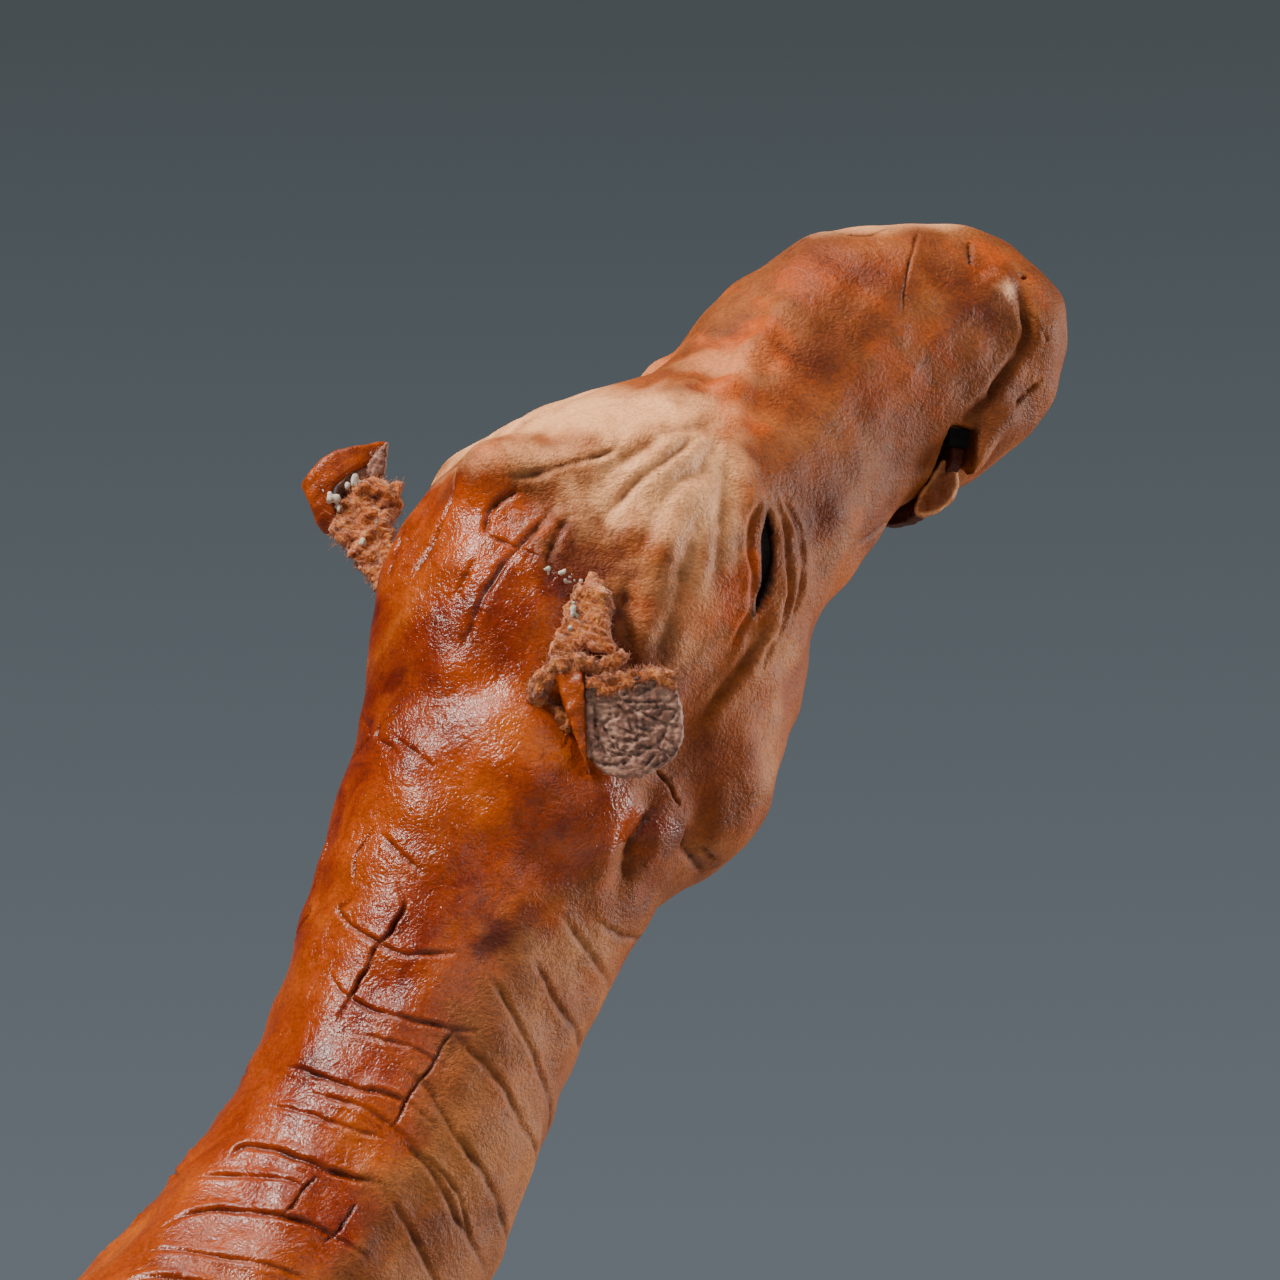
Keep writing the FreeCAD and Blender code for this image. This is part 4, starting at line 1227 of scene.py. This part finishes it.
def hooves(horn):
    """Four hooves, each with growth rings and a soft cleft at the toe."""
    for name in LEGS:
        low, high = box_of(name + "_hoof")
        clay = Clay(low - 4, high + 4, 0.6, 8)
        clay.add_node(name + "_hoof")
        clay.keep(above((0, 0, 0.02), (0, 0, 1)))
        skin = clay.skin()
        p, middle = skin.points, (low + high) / 2
        rings = np.sin((p[:, 2] + 0.12 * (p[:, 0] - middle[0])) * 2 * math.pi / 3.6 + wander(p, 30, 81))
        wall = np.clip((p[:, 2] - 1.5) / 3, 0, 1) * np.clip((27 - p[:, 2]) / 3, 0, 1)
        cleft = np.exp(-((p[:, 1] - middle[1]) / 0.9) ** 2) * np.clip((p[:, 0] - middle[0]) / 8, 0, 1)
        skin.push(wall * (0.22 * rings + 0.12 * wander(p, 5, 82) - 1.1 * cleft))
        # painted shade in the cleft at the toe
        skin.amount("line")[:] = 0.8 * cleft * wall
        skin.amount("dust_and_highlight")[:] = np.clip((4 - p[:, 2]) / 5, 0, 0.8) + 0.2 * np.clip(rings, 0, 1)
        skin.build(name + "_hoof_horn", horn, (name + "_hoof",), "hoof")


# how wide the tuft of hair is at each height
TUFT_Z = (226, 234, 252, 280, 310, 330, 340)
TUFT_RADIUS = (1.5, 4, 7.4, 9.2, 8.6, 6.6, 4.6)


def tail(leather, hair):
    """A leather sleeve over the tail's wire, and its tuft of hair."""
    clay = Clay((-290, -12, 300), (-225, 12, 500), 0.7, 8)
    clay.add_node("tail_skin")
    skin = clay.skin()
    p = skin.points
    skin.push(0.25 * wander(p, 14, 91) + 0.14 * np.sin(p[:, 2] * 0.9 + 2 * wander(p, 12, 92)))
    skin.amount("gloss")[:] = np.clip(0.5 + 0.4 * wander(p, 20, 93), 0, 1)
    skin.amount("shade")[:] = 0.3 * np.clip(wander(p, 10, 94), 0, 1)
    skin.build("tail_leather", leather, ("tail_skin",), "hide")

    low, high = box_of("tail_tuft")
    middle = (low + high) / 2
    random = np.random.RandomState(95)
    verts, faces = [], []
    for _ in range(420):
        turn, share = random.uniform(0, 2 * math.pi), math.sqrt(random.uniform(0, 1))
        end = low[2] + (high[2] - low[2]) * random.uniform(0, 0.35)
        twist = random.normal(0, 0.5)
        rings = []
        for t in np.linspace(1, 0, 9):
            z = high[2] - 2 + (end - high[2] + 2) * t
            swell = share * np.interp(z, TUFT_Z, TUFT_RADIUS)
            angle = turn + twist * t + 0.15 * math.sin(9 * t + turn)
            centre = np.array((middle[0] + swell * math.cos(angle), swell * math.sin(angle), z))
            rings.append(ring_of_three(centre, 0.42 * (1 - 0.75 * t), *np.eye(3)[:2]))
        strand(verts, faces, rings)
    mesh = plain_mesh("tail_hair", np.array(verts) * MM, np.array(faces))
    mesh.shade_smooth()
    finished(mesh, "tail_hair", hair, ("tail_tuft",))


def glue_crumbs(glue):
    """Dried glue round the near ear's slot and in the far ear's folds."""
    random = np.random.RandomState(97)
    clay = Clay((186, -25, 833), (204, -17, 850), 0.22, 5)
    path = curve_through(places("189.5 -19 846, 193.5 -20.6 844.6, 193 -21 841.5, 191.6 -21 837.5"), 0.2)
    for _ in range(34):
        spot = path[random.randint(len(path))] + random.normal(0, 0.45, 3)
        radii = random.uniform(0.12, 0.34, 3) * (1.3, 1, 1.3)
        clay.ball(spot, radii, 0.25, sides=(LEFT,), turn=random.uniform(0, 180))
    clay.skin().build("glue_right", glue, (), "ear_hide")
    clay = ear_clay((-6, -9, -3), (7, 5, 6), 0.22)
    for place in ((0.2, 2.4, 1.6), (1.4, 2.0, 1.7), (2.2, 1.7, 1.9), (-3.2, 0.6, 1.9), (-2.4, -0.3, 1.9),
                  (-1.4, -1.2, 1.9), (4.0, -3.4, 3.2), (4.8, -4.6, 3.6), (2.2, -6.2, 4.8)):
        for _ in range(3):
            spot = place + random.normal(0, 0.35, 3)
            clay.ball(spot, random.uniform(0.25, 0.7, 3), 0.3, sides=(LEFT,))
    clay.skin().build("glue_left", glue, (), "ear_hide", ear_frame(LEFT_EAR))


# ---------------------------------------------------------------- the other materials

def suede_paint():
    paint = Paint("suede")
    clumps = paint.noise(1.6, detail=5, rough=0.7, warp=0.6)
    nap = paint.noise(0.35, detail=3)
    tone = paint.ramp(clumps, [(0.3, (96, 38, 8)), (0.5, (190, 96, 28)), (0.68, (226, 146, 74))])
    paint.colour(paint.speckle(tone, 0.5, nap, [(0.3, 0.5), (0.65, 1.0)]))
    paint.set(Roughness=0.95, Specular_IOR_Level=0.15, Sheen_Weight=0.5, Sheen_Roughness=0.5)
    paint.bump(clumps, 0.9, 0.9)
    paint.bump(nap, 0.35, 1.0)
    return paint.material


def ear_face_paint():
    paint = Paint("ear_face")
    clouds = paint.noise(3, detail=6, rough=0.7, warp=0.8)
    scales = paint.noise(0.6, detail=4, rough=0.7, stretch=(2.4, 2.4, 1), warp=0.6)
    tone = paint.ramp(clouds, [(0.3, (84, 48, 38)), (0.5, (146, 102, 86)), (0.7, (190, 150, 128))])
    tone = paint.speckle(tone, 0.75, scales, [(0.35, 0.3), (0.55, 1.0)])
    # painted shade in the blade's cracks and folds
    paint.colour(paint.mix(paint.attribute("line"), tone, (26, 14, 12)))
    paint.set(Roughness=0.62)
    paint.bump(scales, 0.22, 0.8)
    return paint.material


def plain_paint(name, dark, light, size, roughness, stretch=(1, 1, 1), depth=0.1, **more):
    """A two-tone material with a grain, for wood, horn, wire, glue and hair."""
    paint = Paint(name)
    grain = paint.noise(size, detail=6, rough=0.65, stretch=stretch, warp=0.5)
    tone = paint.ramp(grain, [(0.32, dark), (0.66, light)])
    # painted shade where a mesh has a line amount, as in the hooves' cleft
    tone = paint.colour_where(tone, "line", 0.9, (20, 12, 8))
    paint.colour(paint.colour_where(tone, "dust_and_highlight", 0.35, (170, 150, 130)))
    paint.link("Roughness", paint.ramp(grain, [(0.3, roughness + 0.08), (0.7, roughness - 0.06)]))
    paint.set(**more)
    paint.bump(grain, depth, 0.7)
    return paint.material


def dress(names, material):
    """Gives CAD nodes that stay in view, or inside the hide, their material."""
    for name in names:
        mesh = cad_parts[name].data
        mesh.materials.clear()
        mesh.materials.append(material)


def main():
    make_camera()
    make_world()
    make_floor()
    for lamp in LAMPS:
        soft_lamp(*lamp)
    leather = hide_paint()
    suede, face = suede_paint(), ear_face_paint()
    head_hide(leather)
    mouth_lip(leather)
    neck_hide(leather)
    body_hide(leather)
    ear_right(leather, suede, face)
    ear_left(leather, suede, face)
    glue_crumbs(plain_paint("glue", (150, 138, 120), (206, 200, 188), 0.8, 0.6, depth=0.2))
    hooves(plain_paint("horn", (38, 22, 14), (92, 60, 38), 2.2, 0.4, (1, 1, 5), 0.2))
    hair = plain_paint("tail_hair", (30, 18, 12), (74, 46, 28), 1.2, 0.5, (1, 1, 12), 0.1, Sheen_Weight=0.3)
    tail(leather, hair)
    wood = plain_paint("carved_wood", (122, 78, 42), (176, 126, 78), 3.0, 0.6, (1, 1, 8), 0.2)
    dress(["head_core", "neck_core", "torso_core"] + [name + "_leg_core" for name in LEGS], wood)
    pale = plain_paint("dowel_wood", (176, 134, 84), (214, 178, 128), 1.5, 0.6, (6, 1, 1), 0.1)
    dress(["head_dowel", "neck_dowel", "leg_dowels"], pale)
    dress(["tail_wire"], plain_paint("wire", (96, 92, 88), (150, 146, 140), 2, 0.35, Metallic=1.0))
    eye = plain_paint("eye_dark", (6, 5, 5), (40, 36, 32), 0.5, 0.6, depth=0.25, Specular_IOR_Level=0.2)
    dress(["eye_left", "eye_right"], eye)
    lining = plain_paint(
        "black_lining", (6, 7, 7), (24, 26, 25), 0.6, 0.8, depth=0.25, Specular_IOR_Level=0.15)
    dress(["mouth_lining"], lining)


main()
